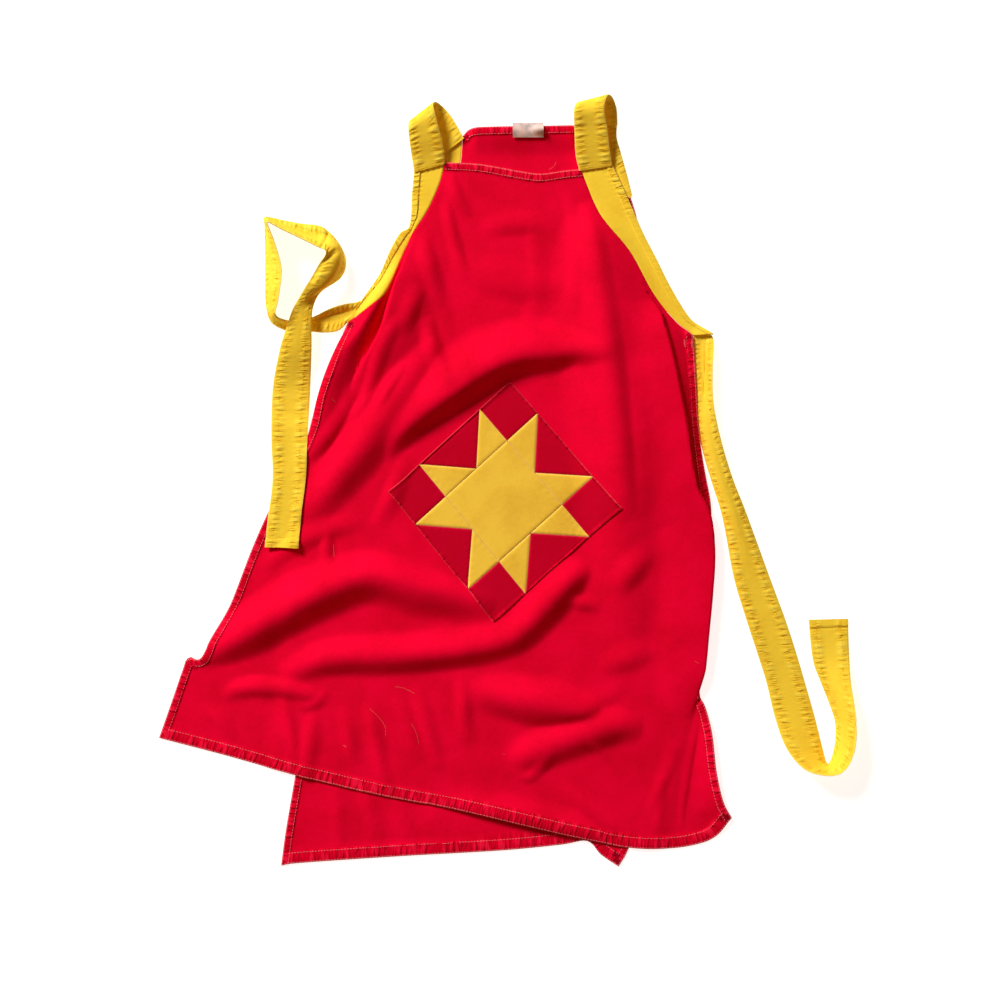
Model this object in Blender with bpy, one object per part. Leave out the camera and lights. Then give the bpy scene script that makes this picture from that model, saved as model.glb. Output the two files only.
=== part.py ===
"""A sleeveless tabard of red and yellow cotton, laid flat on its back with its side ties thrown out.

The frame is in metres with +Z up and the floor at z = 0. Seen from above, +X is right and +Y is up the
garment to its neck. Tables are in millimetres, from a point near the garment's middle, and ORIGIN_X and
ORIGIN_Y are where the object's own origin lies in them.
"""

import math

import bmesh
import bpy
import numpy as np

MM = 0.001

# Driving sizes, in millimetres
CLOTH = 1.4
HEM_EXTRA = 0.8
GAP = 0.3
SIDE_HEM = 9.0
BOTTOM_HEM = 13.0
NECK_HEM = 9.0
ARM_HEM = 8.0
TIE_END_HEM = 9.0
PATCH_CLOTH = 1.1
LABEL_CLOTH = 1.0
HEM_STEP = 1.2
LAYER = CLOTH + HEM_EXTRA + GAP
ORIGIN_X, ORIGIN_Y = -2.2, -1.5
VIEW_X, VIEW_Y, VIEW_HEIGHT = -7.35, -20.5, 1458
BACK_PLATEAU = 16.0
BACK_FALL = 26.0
HEM_CURVE_REACH = 0.45
NECK_CURVE_REACH = 0.22
NORMAL_STEP = 0.5

# Grid counts
FRONT_COLUMNS = 30
FRONT_SIDE_ROWS = 29
FRONT_SEAM_ROWS = 11
BACK_COLUMNS = 10
BACK_SIDE_ROWS = 10
BACK_SEAM_ROWS = 6
STRAP_STEPS = 16
TIE_LEFT_STEPS = 70
TIE_RIGHT_STEPS = 56

# Outlines from the hem corner upward, or from left to right. Columns: x, y
FRONT_HEM = [
    (-365, -270), (-296, -288), (-224, -308), (-131, -330), (-49, -345), (14, -359),
    (78, -374), (123, -384), (165, -386), (197, -382), (219, -373), (235, -353),
]
FRONT_LEFT_SIDE = [
    (-365, -270), (-351, -230), (-340, -198), (-335, -187), (-322, -187), (-315, -178), (-310, -167),
    (-291, -132), (-266, -68), (-244, -20), (-210, 43), (-197, 90), (-186, 121), (-167, 165),
]
FRONT_RIGHT_SIDE = [
    (235, -353), (226, -335), (219, -304), (214.5, -265), (208, -239), (201.5, -223), (205, -195),
    (210, -146), (214, -90), (214, -46), (213, -24), (206, 12), (200, 58), (198, 100), (195, 152),
]
FRONT_LEFT_SEAM = [(-167, 165), (-139, 184), (-124, 200), (-106, 243), (-85, 279), (-71, 310), (-65, 333)]
FRONT_RIGHT_SEAM = [(195, 152), (175, 168), (152, 197), (129, 238), (104, 268), (93, 286), (77, 326)]
FRONT_NECK = [(-65, 333), (-28, 331), (12, 324), (35, 321), (58, 324), (77, 326)]
FRONT_LEFT_ARM = [
    (-155, 185), (-141, 200), (-126.5, 219), (-114, 245), (-102.5, 263), (-100, 295), (-97.5, 324),
]
FRONT_RIGHT_ARM = [
    (216, 153), (203, 161), (190, 172), (171, 203), (155, 235), (143, 258), (128, 292), (110, 331),
]

BACK_HEM = [
    (-237, -404), (-216, -401), (-112, -394), (-7, -388), (56, -382), (84, -378), (98, -392), (117, -405),
]
BACK_LEFT_SIDE = [
    (-237, -404), (-232, -367), (-224, -320), (-209, -230), (-194, -20), (-175, 127), (-161, 162),
    (-146, 185), (-122, 222), (-104, 255), (-93, 282),
]
BACK_RIGHT_SIDE = [
    (117, -405), (128, -385), (150, -325), (172, -230), (184, -125), (188, -20), (186, 142),
    (170, 172), (150, 222), (138, 262), (136, 276), (130, 296),
]
BACK_LEFT_SEAM = [(-93, 282), (-72, 290), (-57, 308), (-49, 331), (-46.5, 361)]
BACK_RIGHT_SEAM = [(130, 296), (110, 303), (96, 320), (87, 345), (83, 371)]
BACK_NECK = [(-46.5, 361), (-41, 366.5), (-30, 369), (6, 370), (40, 370.5), (70, 371), (83, 371)]
BACK_LEFT_ARM = [(-95, 286), (-87, 305), (-80, 323), (-75, 338)]
BACK_RIGHT_ARM = [(131, 300), (126, 320), (119, 345), (115, 360), (115.5, 375)]

# Folds of the front as crest lines, travelled so that left and right widths are clear.
# Columns: x, y, height, width on the left, width on the right
FOLDS = {
    "upper arch": [
        (-132, 30, 0, 30, 14), (-112, 62, 10, 36, 20), (-60, 100, 17, 46, 23),
        (-2, 130, 17, 46, 24), (56, 139, 12, 40, 22), (100, 150, 0, 30, 16),
    ],
    "upper left": [
        (-222, -36, 0, 22, 24), (-190, 8, 7, 30, 34), (-154, 53, 10, 34, 38),
        (-112, 108, 9, 34, 34), (-78, 160, 0, 26, 20),
    ],
    "lower arch": [
        (-330, -186, 0, 20, 12), (-312, -174, 5, 26, 18), (-270, -150, 13, 34, 28), (-207, -115, 15, 36, 28),
        (-144, -95, 14, 34, 22), (-70, -104, 10, 28, 22), (-18, -132, 0, 22, 14),
    ],
    "lower sweep": [
        (-236, -200, 0, 16, 16), (-190, -180, 9, 24, 22), (-120, -176, 10, 26, 24), (-49, -170, 10, 26, 22),
        (3, -158, 9, 24, 22), (35, -125, 11, 26, 24), (70, -92, 9, 26, 22), (104, -66, 0, 22, 16),
    ],
    "hem ridge": [(0, -290, 0, 18, 18), (40, -276, 8, 26, 24), (87, -256, 9, 28, 26), (134, -222, 0, 20, 20)],
    "hem hollow": [
        (-52, -214, 0, 20, 20), (0, -216, 6, 26, 26), (60, -222, 6, 26, 24), (96, -232, 0, 18, 18),
    ],
    "chest line": [(84, 292, 0, 9, 22), (96, 216, 6, 12, 40), (106, 137, 6, 12, 44), (122, 30, 0, 14, 30)],
    "right roll": [
        (146, 182, 0, 10, 46), (160, 140, 10, 11, 60), (172, 96, 14, 13, 64), (182, 40, 15, 12, 64),
        (190, 4, 15, 13, 62), (200, -28, 14, 14, 60), (200, -90, 14, 13, 60), (190, -160, 13, 14, 56),
        (182, -206, 9, 14, 50), (180, -262, 0, 14, 36),
    ],
    "left roll": [
        (-90, 284, 0, 34, 14), (-96, 252, 8, 46, 20), (-108, 212, 11, 52, 22), (-124, 172, 11, 54, 18),
        (-140, 128, 8, 46, 18), (-158, 84, 0, 34, 20),
    ],
    "flap": [(200, -236, 0, 14, 22), (188, -270, 6, 18, 26), (170, -320, 6, 20, 28), (160, -356, 0, 16, 22)],
}
FOLD_BLEND = 3.0

# Ribbons by their two edges, the first on the right of the way travelled, x and y as seen from the
# view point. Columns: x, y, z of the right edge, x, y, z of the left edge, arch upward
STRAP_LEFT = [
    (-65.3, 334.4, 2.5, -97.6, 325.6, 2.5, 0), (-66, 345, 6, -99.8, 338, 4, 0),
    (-68.7, 359, 9, -101.6, 350, 7, 0), (-72.5, 373, 11, -103, 361, 9, 0),
    (-76, 387, 12.5, -103.6, 369, 10, 0), (-77.6, 395, 10.5, -103, 375.5, 8, 0),
    (-75, 397.6, 7, -100.5, 378, 5, 0), (-70, 394.5, 3.5, -97, 375, 2.5, 0),
    (-64, 389, 1, -92, 368, 0.5, 0), (-57, 380, 0, -86, 358, 0, 0), (-47, 362.2, 0, -75.4, 339, 0, 0),
]
STRAP_RIGHT = [
    (110, 332.3, 2.5, 75.4, 327.4, 2.5, 0), (108, 345, 6, 72, 342, 6, 0), (105, 370, 10, 70.7, 368, 9, 0),
    (102, 389, 13, 70, 385, 12, 0), (103.6, 400, 12.5, 71, 392.5, 12, 0),
    (106.5, 405.4, 9, 73.5, 396.3, 9, 0), (110.4, 402.8, 5, 76, 394.5, 5.5, 0),
    (113.4, 396.5, 2, 79, 390, 2.5, 0), (115.3, 388, 0, 81.5, 383, 0, 0), (115.8, 376, 0, 83.4, 372, 0, 0),
]
TIE_LEFT = [
    (-157.2, 185.7, 2.5, -167.2, 167.7, 2.5, 0), (-171, 185, 14, -177, 157, 1, -5), (-187, 180, 17, -193, 155, 0, -6),
    (-203, 172, 12, -206, 156, 0, -5), (-218, 168, 10, -219, 154, 0, -4), (-234, 169, 14, -234, 158, 0, -3),
    (-243, 175, 24, -248, 167, 0, 0), (-240, 190, 29, -253, 187, 0, 2), (-236.5, 221, 30, -253.5, 219, 0, 3),
    (-243, 247, 31, -253.5, 247, 0, 2), (-250, 267, 33, -254, 274, 0, 0), (-237, 264, 31, -237, 273.5, 0, -2),
    (-216, 254, 29, -216, 269.5, 0, -4), (-200, 246, 28, -198, 267.5, 0, -4),
    (-191, 242, 28, -188, 262, 0, 0),
    (-191, 236, 28, -176, 248, 0, 2), (-197, 228, 27, -169, 230, 1, 3), (-207, 211, 25, -174, 213, 4, 2),
    (-218, 192, 24, -194, 199, 12, 2), (-225, 179, 22, -203, 183, 16, 3), (-231.5, 160, 18, -205, 163, 17, 4),
    (-238.5, 137, 9, -205, 137, 9, 2), (-246, 95, 0, -206.5, 95, 0, 1), (-247, 43, 1, -209, 43, 3, 0),
    (-246, 1, 4, -211, 1, 4, 0), (-251, -41, 4, -216, -41, 4, 0), (-254, -70, 4, -218, -71, 4, 0),
]
TIE_RIGHT = [
    (195, 148, 0, 216, 151, 2.5, 0), (194.5, 137, 0, 217, 137, 8, -2), (195.5, 120, 0, 216, 120, 12, -2),
    (197.5, 86, 0, 216.5, 86, 11, -1), (199.5, 58, 0, 220.5, 60, 9, 2), (206, 28, 0, 228, 30, 7, 4),
    (215, -3, 0, 237.5, 0, 5, 5), (223, -28, 0, 247.5, -25, 3, 5), (229, -54, 0, 257.5, -52, 1, 4),
    (238, -103, 0, 275, -100, 0, 1), (251.5, -148, 0, 292, -146, 0, 0), (262, -180, 0, 302.5, -178, 0, 0),
    (272, -212, 0, 312, -210, 0, 0), (281, -249, 4, 322.5, -247, 0, 1), (293, -281, 14, 330.5, -279, 0, 2),
    (312, -303, 25, 334.5, -294, 0, 2), (336, -310, 29, 338, -297, 0, 2), (353, -306, 29, 342, -286, 0, 2),
    (363.5, -289, 28, 344.5, -271, 0, 2), (367, -263, 27, 344, -253, 0, 2), (365, -237, 23, 338, -234, 0, 2),
    (361, -213, 13, 328, -209, 0, 2), (359, -184, 4, 320.5, -187, 0, 1), (357.5, -145, 0, 316, -146, 0, 0),
]
TIE_OVER_FRONT_Y, TIE_CLIMB = 78, 22
TIE_LAST_STRETCH = 0.5

# Patchwork block on point. Its corners: left, top, right, bottom. Columns: x, y
BLOCK = [(-124, -12), (3, 104), (120, -29), (-14, -149)]
SEAM_HALF = 0.18

LABEL_LEFT, LABEL_RIGHT = 6, 38
LABEL_LOW, LABEL_HIGH = 358, 373
LABEL_COLUMNS, LABEL_ROWS = 4, 3

# Materials: name, colour, roughness
MATERIALS = {
    "red_cotton": ((0.62, 0.004, 0.03, 1), 0.85),
    "yellow_cotton": ((0.85, 0.5, 0.035, 1), 0.85),
    "label_cotton": ((0.62, 0.4, 0.4, 1), 0.8),
}


def clear_scene():
    for old in list(bpy.data.objects):
        bpy.data.objects.remove(old)


def make_materials():
    """One Principled material for each cloth."""
    for name, (colour, roughness) in MATERIALS.items():
        material = bpy.data.materials.new(name)
        material.use_nodes = True
        shader = material.node_tree.nodes["Principled BSDF"]
        shader.inputs["Base Color"].default_value = colour
        shader.inputs["Roughness"].default_value = roughness
        shader.inputs["Metallic"].default_value = 0.0
        material.diffuse_color = colour


def smooth_path(rows, shares):
    """Points at the given shares of the length of a smooth curve through the rows, any number of columns."""
    rows = np.array(rows, float)
    ends = np.vstack([2 * rows[0] - rows[1], rows, 2 * rows[-1] - rows[-2]])
    dense = [rows[0]]
    steps = np.linspace(0, 1, 13)[1:, None]
    for before, start, end, after in zip(ends, ends[1:], ends[2:], ends[3:]):
        slope_in, slope_out = (end - before) / 2, (after - start) / 2
        cubic = 2 * (start - end) + slope_in + slope_out
        square = 3 * (end - start) - 2 * slope_in - slope_out
        dense.extend(((cubic * steps + square) * steps + slope_in) * steps + start)
    dense = np.array(dense)
    lengths = np.concatenate([[0], np.cumsum(np.linalg.norm(np.diff(dense[:, :2], axis=0), axis=1))])
    wanted = np.asarray(shares) * lengths[-1]
    return np.column_stack([np.interp(wanted, lengths, column) for column in dense.T])


def path_length(rows):
    points = smooth_path(rows, np.linspace(0, 1, 200))[:, :2]
    return np.linalg.norm(np.diff(points, axis=0), axis=1).sum()


def shares_with_hem(count, length, hem_low, hem_high):
    """Even shares of a length, with a close pair of lines where a hem's fold ends."""
    low = [0.0, hem_low - HEM_STEP, hem_low] if hem_low else [0.0]
    high = [length - hem_high, length - hem_high + HEM_STEP, length] if hem_high else [length]
    inner = np.linspace(low[-1], high[0], count + 1)[1:-1]
    return np.concatenate([low, inner, high]) / length


def nearest_on_line(points, line):
    """For each point: distance to a polyline, which side it is on (+1 left), and its place in rows."""
    best = np.full(len(points), np.inf)
    side = np.ones(len(points))
    place = np.zeros(len(points))
    for index, (start, end) in enumerate(zip(line[:, :2], line[1:, :2])):
        along = end - start
        share = np.clip((points - start) @ along / (along @ along), 0, 1)
        away = points - (start + share[:, None] * along)
        distance = np.linalg.norm(away, axis=1)
        closer = distance < best
        best[closer] = distance[closer]
        turn = along[0] * away[:, 1] - along[1] * away[:, 0]
        side[closer] = np.where(turn[closer] >= 0, 1, -1)
        place[closer] = index + share[closer]
    return best, side, place


def back_outline():
    """The back panel with its crescents, as one closed outline."""
    left = BACK_LEFT_SIDE + BACK_LEFT_ARM[1:]
    right = BACK_RIGHT_SIDE + BACK_RIGHT_ARM[1:]
    return np.array(BACK_HEM + right[1:] + left[::-1], float)


def distance_outside(points, outline):
    """Distance of each point outside a closed outline, 0 inside."""
    distance, _, _ = nearest_on_line(points, outline)
    inside = np.zeros(len(points), bool)
    for (x0, y0), (x1, y1) in zip(outline, np.roll(outline, -1, axis=0)):
        crosses = (y0 > points[:, 1]) != (y1 > points[:, 1])
        if y0 != y1:
            reach = (x1 - x0) * (points[:, 1] - y0) / (y1 - y0) + x0
            inside ^= crosses & (points[:, 0] < reach)
    return np.where(inside, 0, distance)


def fold_height(points):
    """How far the folds lift the front at each point, by a soft largest of all folds."""
    total = np.zeros(len(points))
    for rows in FOLDS.values():
        line = smooth_path(rows, np.linspace(0, 1, 6 * len(rows)))
        distance, side, place = nearest_on_line(points, line)
        steps = np.arange(len(line))
        height = np.interp(place, steps, line[:, 2])
        width = np.where(side > 0, np.interp(place, steps, line[:, 3]), np.interp(place, steps, line[:, 4]))
        lift = height * (1 + np.cos(np.pi * np.clip(distance / width, 0, 1))) / 2
        total += lift**FOLD_BLEND
    return total ** (1 / FOLD_BLEND)


def front_underside(points):
    """Height of the front layer's underside: over the back, down to the floor beyond it, and up at folds."""
    outside = distance_outside(points, back_outline())
    fall = np.clip((outside - BACK_PLATEAU) / BACK_FALL, 0, 1)
    return LAYER * (1 + np.cos(np.pi * fall)) / 2 + fold_height(points)


def back_underside(points):
    return np.zeros(len(points))


def field_normals(points, underside):
    """Unit normals of a height field, by differences."""
    step = NORMAL_STEP
    across = (underside(points + [step, 0]) - underside(points - [step, 0])) / (2 * step)
    up = (underside(points + [0, step]) - underside(points - [0, step])) / (2 * step)
    normals = np.column_stack([-across, -up, np.ones(len(points))])
    return normals / np.linalg.norm(normals, axis=1)[:, None]


def layer_points(plan, underside, thickness):
    """Lower and upper grids of a cloth layer over a plan grid."""
    flat = plan.reshape(-1, 2)
    lower = np.column_stack([flat, underside(flat)])
    upper = lower + field_normals(flat, underside) * thickness.reshape(-1, 1)
    return lower.reshape(plan.shape[:2] + (3,)), upper.reshape(plan.shape[:2] + (3,))


def add_object(name, vertices, faces, material):
    mesh = bpy.data.meshes.new(name)
    placed = (np.asarray(vertices) - [ORIGIN_X, ORIGIN_Y, 0]) * MM
    mesh.from_pydata([tuple(point) for point in placed], [], faces)
    mesh.materials.append(bpy.data.materials[material])
    mesh.shade_smooth()
    mesh.set_sharp_from_angle(angle=math.radians(40))
    mesh.update()
    made = bpy.data.objects.new(name, mesh)
    bpy.context.scene.collection.objects.link(made)
    return made


def grid_triangles(lower):
    """Triangles of a grid, each square cut along its shorter diagonal."""
    rows, columns = lower.shape[:2]
    triangles = []
    for i in range(rows - 1):
        for j in range(columns - 1):
            a, b = i * columns + j, i * columns + j + 1
            d, c = a + columns, b + columns
            first = np.linalg.norm(lower[i, j] - lower[i + 1, j + 1])
            second = np.linalg.norm(lower[i, j + 1] - lower[i + 1, j])
            if first <= second:
                triangles += [(a, b, c), (a, c, d)]
            else:
                triangles += [(a, b, d), (b, c, d)]
    return triangles


def add_wall(name, lower, upper, material):
    """A closed cloth wall between two grids, columns running right and rows running up seen from above."""
    rows, columns = lower.shape[:2]
    count = rows * columns
    vertices = np.vstack([lower.reshape(-1, 3), upper.reshape(-1, 3)])
    triangles = grid_triangles(lower)
    faces = [(a, c, b) for a, b, c in triangles]
    faces += [(a + count, b + count, c + count) for a, b, c in triangles]
    rim = list(range(columns))
    rim += [i * columns + columns - 1 for i in range(1, rows)]
    rim += [(rows - 1) * columns + j for j in range(columns - 2, -1, -1)]
    rim += [i * columns for i in range(rows - 2, 0, -1)]
    for here, after in zip(rim, rim[1:] + rim[:1]):
        faces.append((here, after, after + count, here + count))
    return add_object(name, vertices, faces, material)


def side_and_seam(side, seam, side_rows, seam_rows, hem, neck_hem):
    """One path up a side and its armhole seam, with the shares of its rows and the row of the corner."""
    side_length, seam_length = path_length(side), path_length(seam)
    whole = side_length + seam_length
    low = shares_with_hem(side_rows, side_length, hem, 0) * side_length / whole
    high = (side_length + shares_with_hem(seam_rows, seam_length, 0, neck_hem) * seam_length) / whole
    points = np.vstack([
        smooth_path(side, low * whole / side_length),
        smooth_path(seam, (high[1:] * whole - side_length) / seam_length),
    ])
    return points, np.concatenate([low, high[1:]]), len(low) - 1


def panel_plan(hem, neck, left, right, columns):
    """Plan grid of a panel: straight sections from side to side, bulged to the hem and the neck outlines."""
    left_points, shares, corner = left
    grid = []
    for start, end in zip(left_points, right[0]):
        across = shares_with_hem(columns, np.linalg.norm(end - start), SIDE_HEM, SIDE_HEM)
        grid.append(start + across[:, None] * (end - start))
    grid = np.array(grid)
    last = len(grid) - 1
    for edge, outline, reach in ((0, hem, HEM_CURVE_REACH), (last, neck, NECK_CURVE_REACH)):
        width = np.linalg.norm(grid[edge, -1] - grid[edge, 0])
        across = np.linalg.norm(grid[edge] - grid[edge, 0], axis=1) / width
        bulge = smooth_path(outline, across) - grid[edge]
        away = np.abs(shares - shares[edge]) / reach
        weight = (1 + np.cos(np.pi * np.clip(away, 0, 1))) / 2
        grid += weight[:, None, None] * bulge[None]
    return grid, corner


def distance_to(plan, outline):
    return nearest_on_line(plan.reshape(-1, 2), smooth_path(outline, np.linspace(0, 1, 90)))[0].reshape(
        plan.shape[:2]
    )


def hem_thickness(plan, hems):
    """Cloth thickness over a plan grid, thicker within each hem's width of its outline."""
    thick = np.full(plan.shape[:2], CLOTH)
    for outline, width in hems:
        inside = distance_to(plan, outline) < width - HEM_STEP / 2
        thick = np.where(inside, CLOTH + HEM_EXTRA, thick)
    return thick


def add_panel(name, hem, neck, sides, seams, columns, side_rows, seam_rows, underside):
    """A front or back panel; returns its plan grid, upper points and the row of its underarm corners."""
    left = side_and_seam(sides[0], seams[0], side_rows, seam_rows, BOTTOM_HEM, NECK_HEM)
    right = side_and_seam(sides[1], seams[1], side_rows, seam_rows, BOTTOM_HEM, NECK_HEM)
    plan, corner = panel_plan(hem, neck, left, right, columns)
    hems = [(hem, BOTTOM_HEM), (neck, NECK_HEM), (sides[0], SIDE_HEM), (sides[1], SIDE_HEM)]
    lower, upper = layer_points(plan, underside, hem_thickness(plan, hems))
    add_wall(name, lower, upper, "red_cotton")
    return plan, lower, upper, corner


def add_crescent(name, seam_points, arm, underside, right_hand):
    """An armhole piece from a panel's own seam points out to the armhole edge."""
    outer = smooth_path(arm, np.linspace(0, 1, len(seam_points)))
    inner = seam_points + GAP * (outer - seam_points) / np.linalg.norm(outer - seam_points, axis=1)[:, None]
    plan = []
    for start, end in zip(inner, outer):
        width = np.linalg.norm(end - start)
        hem = min(ARM_HEM, width * 0.6)
        shares = np.array([0, (width - hem) / width, (width - hem + HEM_STEP) / width, 1])
        plan.append(start + shares[:, None] * (end - start))
    plan = np.array(plan)
    thick = np.full(plan.shape[:2], CLOTH)
    thick[:, 2:] += HEM_EXTRA
    lower, upper = layer_points(plan, underside, thick)
    if not right_hand:
        lower, upper = lower[:, ::-1], upper[:, ::-1]
    add_wall(name, lower, upper, "yellow_cotton")


def below_view(points):
    """Points seen from the view point at their own height, given where they seem to lie on the floor."""
    view = np.array([VIEW_X, VIEW_Y])
    shrink = 1 - points[:, 2:] / VIEW_HEIGHT
    return np.hstack([view + (points[:, :2] - view) * shrink, points[:, 2:]])


def ribbon_grid(rows, steps, end_hem):
    """Middle surface of a ribbon: sections between its two edges, each bulged by its arch."""
    length = path_length([((a[0] + a[3]) / 2, (a[1] + a[4]) / 2) for a in rows])
    shares = shares_with_hem(steps, length, 0, end_hem)
    table = np.array(rows, float)
    table[:, :3] = below_view(table[:, :3])
    table[:, 3:6] = below_view(table[:, 3:6])
    middle = (table[:, :2] + table[:, 3:5]) / 2
    sections = smooth_path(np.hstack([middle, table]), shares)[:, 2:]
    right, left, arch = sections[:, :3], sections[:, 3:6], sections[:, 6]
    way = np.gradient((right + left) / 2, axis=0)
    lift = np.cross(left - right, way)
    lift /= -np.linalg.norm(lift, axis=1)[:, None]
    across = np.linspace(0, 1, 5)
    grid = right[:, None] + across[None, :, None] * (left - right)[:, None]
    grid += (4 * across * (1 - across))[None, :, None] * (arch[:, None] * lift)[:, None]
    return grid, shares * length, length


def add_ribbon(name, rows, steps, end_hem, over_front_y=None):
    """A strap or tie, its walls half the cloth's thickness to each side of its middle surface."""
    grid, along, length = ribbon_grid(rows, steps, end_hem)
    grid[:, :, 2] += CLOTH / 2
    if over_front_y is not None:
        flat = grid.reshape(-1, 3)
        rest = front_underside(flat[:, :2]) + CLOTH + HEM_EXTRA + CLOTH / 2 + 2 * GAP
        climb = np.clip((over_front_y - flat[:, 1]) / TIE_CLIMB, 0, 1)
        climb[np.repeat(along < TIE_LAST_STRETCH * length, grid.shape[1])] = 0
        flat[:, 2] = np.maximum(flat[:, 2], rest * climb)
        grid = flat.reshape(grid.shape)
    along_rows, across = np.gradient(grid, axis=0), np.gradient(grid, axis=1)
    normals = np.cross(along_rows, across)
    normals /= np.linalg.norm(normals, axis=2)[:, :, None]
    thick = np.full(grid.shape[:2], CLOTH)
    if end_hem:
        thick[along > length - end_hem + HEM_STEP / 2] += HEM_EXTRA
    lower = grid - normals * CLOTH / 2
    upper = grid + normals * (thick - CLOTH / 2)[:, :, None]
    floor = min(lower[:, :, 2].min(), upper[:, :, 2].min())
    if floor < 0:
        lower[:, :, 2] -= floor
        upper[:, :, 2] -= floor
    add_wall(name, lower[:, ::-1], upper[:, ::-1], "yellow_cotton")


def block_point(s, t):
    """A point of the block's square: s runs from its left corner to its top one, t to its bottom one."""
    left, top, right, bottom = np.array(BLOCK, float)
    return left * (1 - s) * (1 - t) + top * s * (1 - t) + right * s * t + bottom * (1 - s) * t


def quarter_turns(corner, turns):
    """A corner in quarters of the block's side, turned about the block's middle."""
    s, t = corner
    for _ in range(turns):
        s, t = 4 - t, s
    return s, t


def star_patches():
    """Name, colour and corners in quarters of the block's side, for a sawtooth star."""
    patches = [("star_centre", "yellow_cotton", [(1, 1), (3, 1), (3, 3), (1, 3)])]
    for turn in range(4):
        number = turn + 1
        shapes = [
            (f"star_corner_{number}", "red_cotton", [(0, 0), (1, 0), (1, 1), (0, 1)]),
            (f"star_edge_{number}", "red_cotton", [(1, 0), (3, 0), (2, 1)]),
            (f"star_point_{2 * turn + 1}", "yellow_cotton", [(1, 0), (2, 1), (1, 1)]),
            (f"star_point_{2 * turn + 2}", "yellow_cotton", [(3, 0), (3, 1), (2, 1)]),
        ]
        for name, material, corners in shapes:
            patches.append((name, material, [quarter_turns(corner, turn) for corner in corners]))
    return patches


def add_patch(name, material, corners, upper):
    """A flat patch cut from the front's own upper facets, moved out, and given its thickness."""
    outline = np.array([block_point(s / 4, t / 4) for s, t in corners])
    area = np.cross(outline, np.roll(outline, -1, axis=0)).sum()
    if area < 0:
        outline = outline[::-1]
    flat = upper.reshape(-1, 3)
    mesh = bmesh.new()
    vertices = [mesh.verts.new(tuple(p + [0, 0, GAP])) for p in flat]
    low, high = outline.min(axis=0) - GAP, outline.max(axis=0) + GAP
    for triangle in grid_triangles(upper):
        points = flat[list(triangle), :2]
        if (points.max(axis=0) > low).all() and (points.min(axis=0) < high).all():
            mesh.faces.new([vertices[i] for i in triangle])
    for start, end in zip(outline, np.roll(outline, -1, axis=0)):
        along = (end - start) / np.linalg.norm(end - start)
        outward = np.array([along[1], -along[0]])
        edge = start - outward * SEAM_HALF
        bmesh.ops.bisect_plane(
            mesh,
            geom=mesh.verts[:] + mesh.edges[:] + mesh.faces[:],
            plane_co=(edge[0], edge[1], 0),
            plane_no=(outward[0], outward[1], 0),
            clear_outer=True,
        )
    loose = [vertex for vertex in mesh.verts if not vertex.link_faces]
    bmesh.ops.delete(mesh, geom=loose, context="VERTS")
    bmesh.ops.triangulate(mesh, faces=mesh.faces[:])
    mesh.verts.index_update()
    low_points = np.array([vertex.co[:] for vertex in mesh.verts])
    faces = [[vertex.index for vertex in face.verts] for face in mesh.faces]
    rim = [[vertex.index for vertex in edge.verts] for edge in mesh.edges if len(edge.link_faces) == 1]
    directed = {(a, b) for face in faces for a, b in zip(face, face[1:] + face[:1])}
    mesh.free()
    count = len(low_points)
    solid = [face[::-1] for face in faces] + [[index + count for index in face] for face in faces]
    for a, b in rim:
        if (a, b) not in directed:
            a, b = b, a
        solid.append([a, b, b + count, a + count])
    add_object(name, np.vstack([low_points, low_points + [0, 0, PATCH_CLOTH]]), solid, material)


def add_label():
    """A blank label on the back neck hem, standing a little above its edge."""
    across = np.linspace(LABEL_LEFT, LABEL_RIGHT, LABEL_COLUMNS + 1)
    up = np.linspace(LABEL_LOW, LABEL_HIGH, LABEL_ROWS + 1)
    plan = np.stack(np.meshgrid(across, up), axis=-1)
    height = np.full(plan.shape[:2], CLOTH + HEM_EXTRA + GAP)
    lower = np.dstack([plan, height])
    add_wall("label", lower, lower + [0, 0, LABEL_CLOTH], "label_cotton")


def build():
    clear_scene()
    make_materials()
    front = add_panel(
        "front_panel", FRONT_HEM, FRONT_NECK, (FRONT_LEFT_SIDE, FRONT_RIGHT_SIDE),
        (FRONT_LEFT_SEAM, FRONT_RIGHT_SEAM), FRONT_COLUMNS, FRONT_SIDE_ROWS, FRONT_SEAM_ROWS,
        front_underside,
    )
    back = add_panel(
        "back_panel", BACK_HEM, BACK_NECK, (BACK_LEFT_SIDE, BACK_RIGHT_SIDE),
        (BACK_LEFT_SEAM, BACK_RIGHT_SEAM), BACK_COLUMNS, BACK_SIDE_ROWS, BACK_SEAM_ROWS,
        back_underside,
    )
    for layer, (plan, _, _, corner), arms, underside in (
        ("front", front, (FRONT_LEFT_ARM, FRONT_RIGHT_ARM), front_underside),
        ("back", back, (BACK_LEFT_ARM, BACK_RIGHT_ARM), back_underside),
    ):
        add_crescent(f"{layer}_crescent_left", plan[corner:, 0], arms[0], underside, False)
        add_crescent(f"{layer}_crescent_right", plan[corner:, -1], arms[1], underside, True)
    add_ribbon("strap_left", STRAP_LEFT, STRAP_STEPS, 0)
    add_ribbon("strap_right", STRAP_RIGHT, STRAP_STEPS, 0)
    add_ribbon("tie_left", TIE_LEFT, TIE_LEFT_STEPS, TIE_END_HEM, TIE_OVER_FRONT_Y)
    add_ribbon("tie_right", TIE_RIGHT, TIE_RIGHT_STEPS, TIE_END_HEM)
    for name, material, corners in star_patches():
        add_patch(name, material, corners, front[2])
    add_label()


build()
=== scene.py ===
"""The dressed view of a sleeveless tabard of red and yellow cotton, laid flat on its back.

Everything is in metres, with +Z up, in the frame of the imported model. Tables are in millimetres, from a
point near the garment's middle, and ORIGIN_X and ORIGIN_Y are where the object's own origin lies in them.
"""

import math

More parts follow.
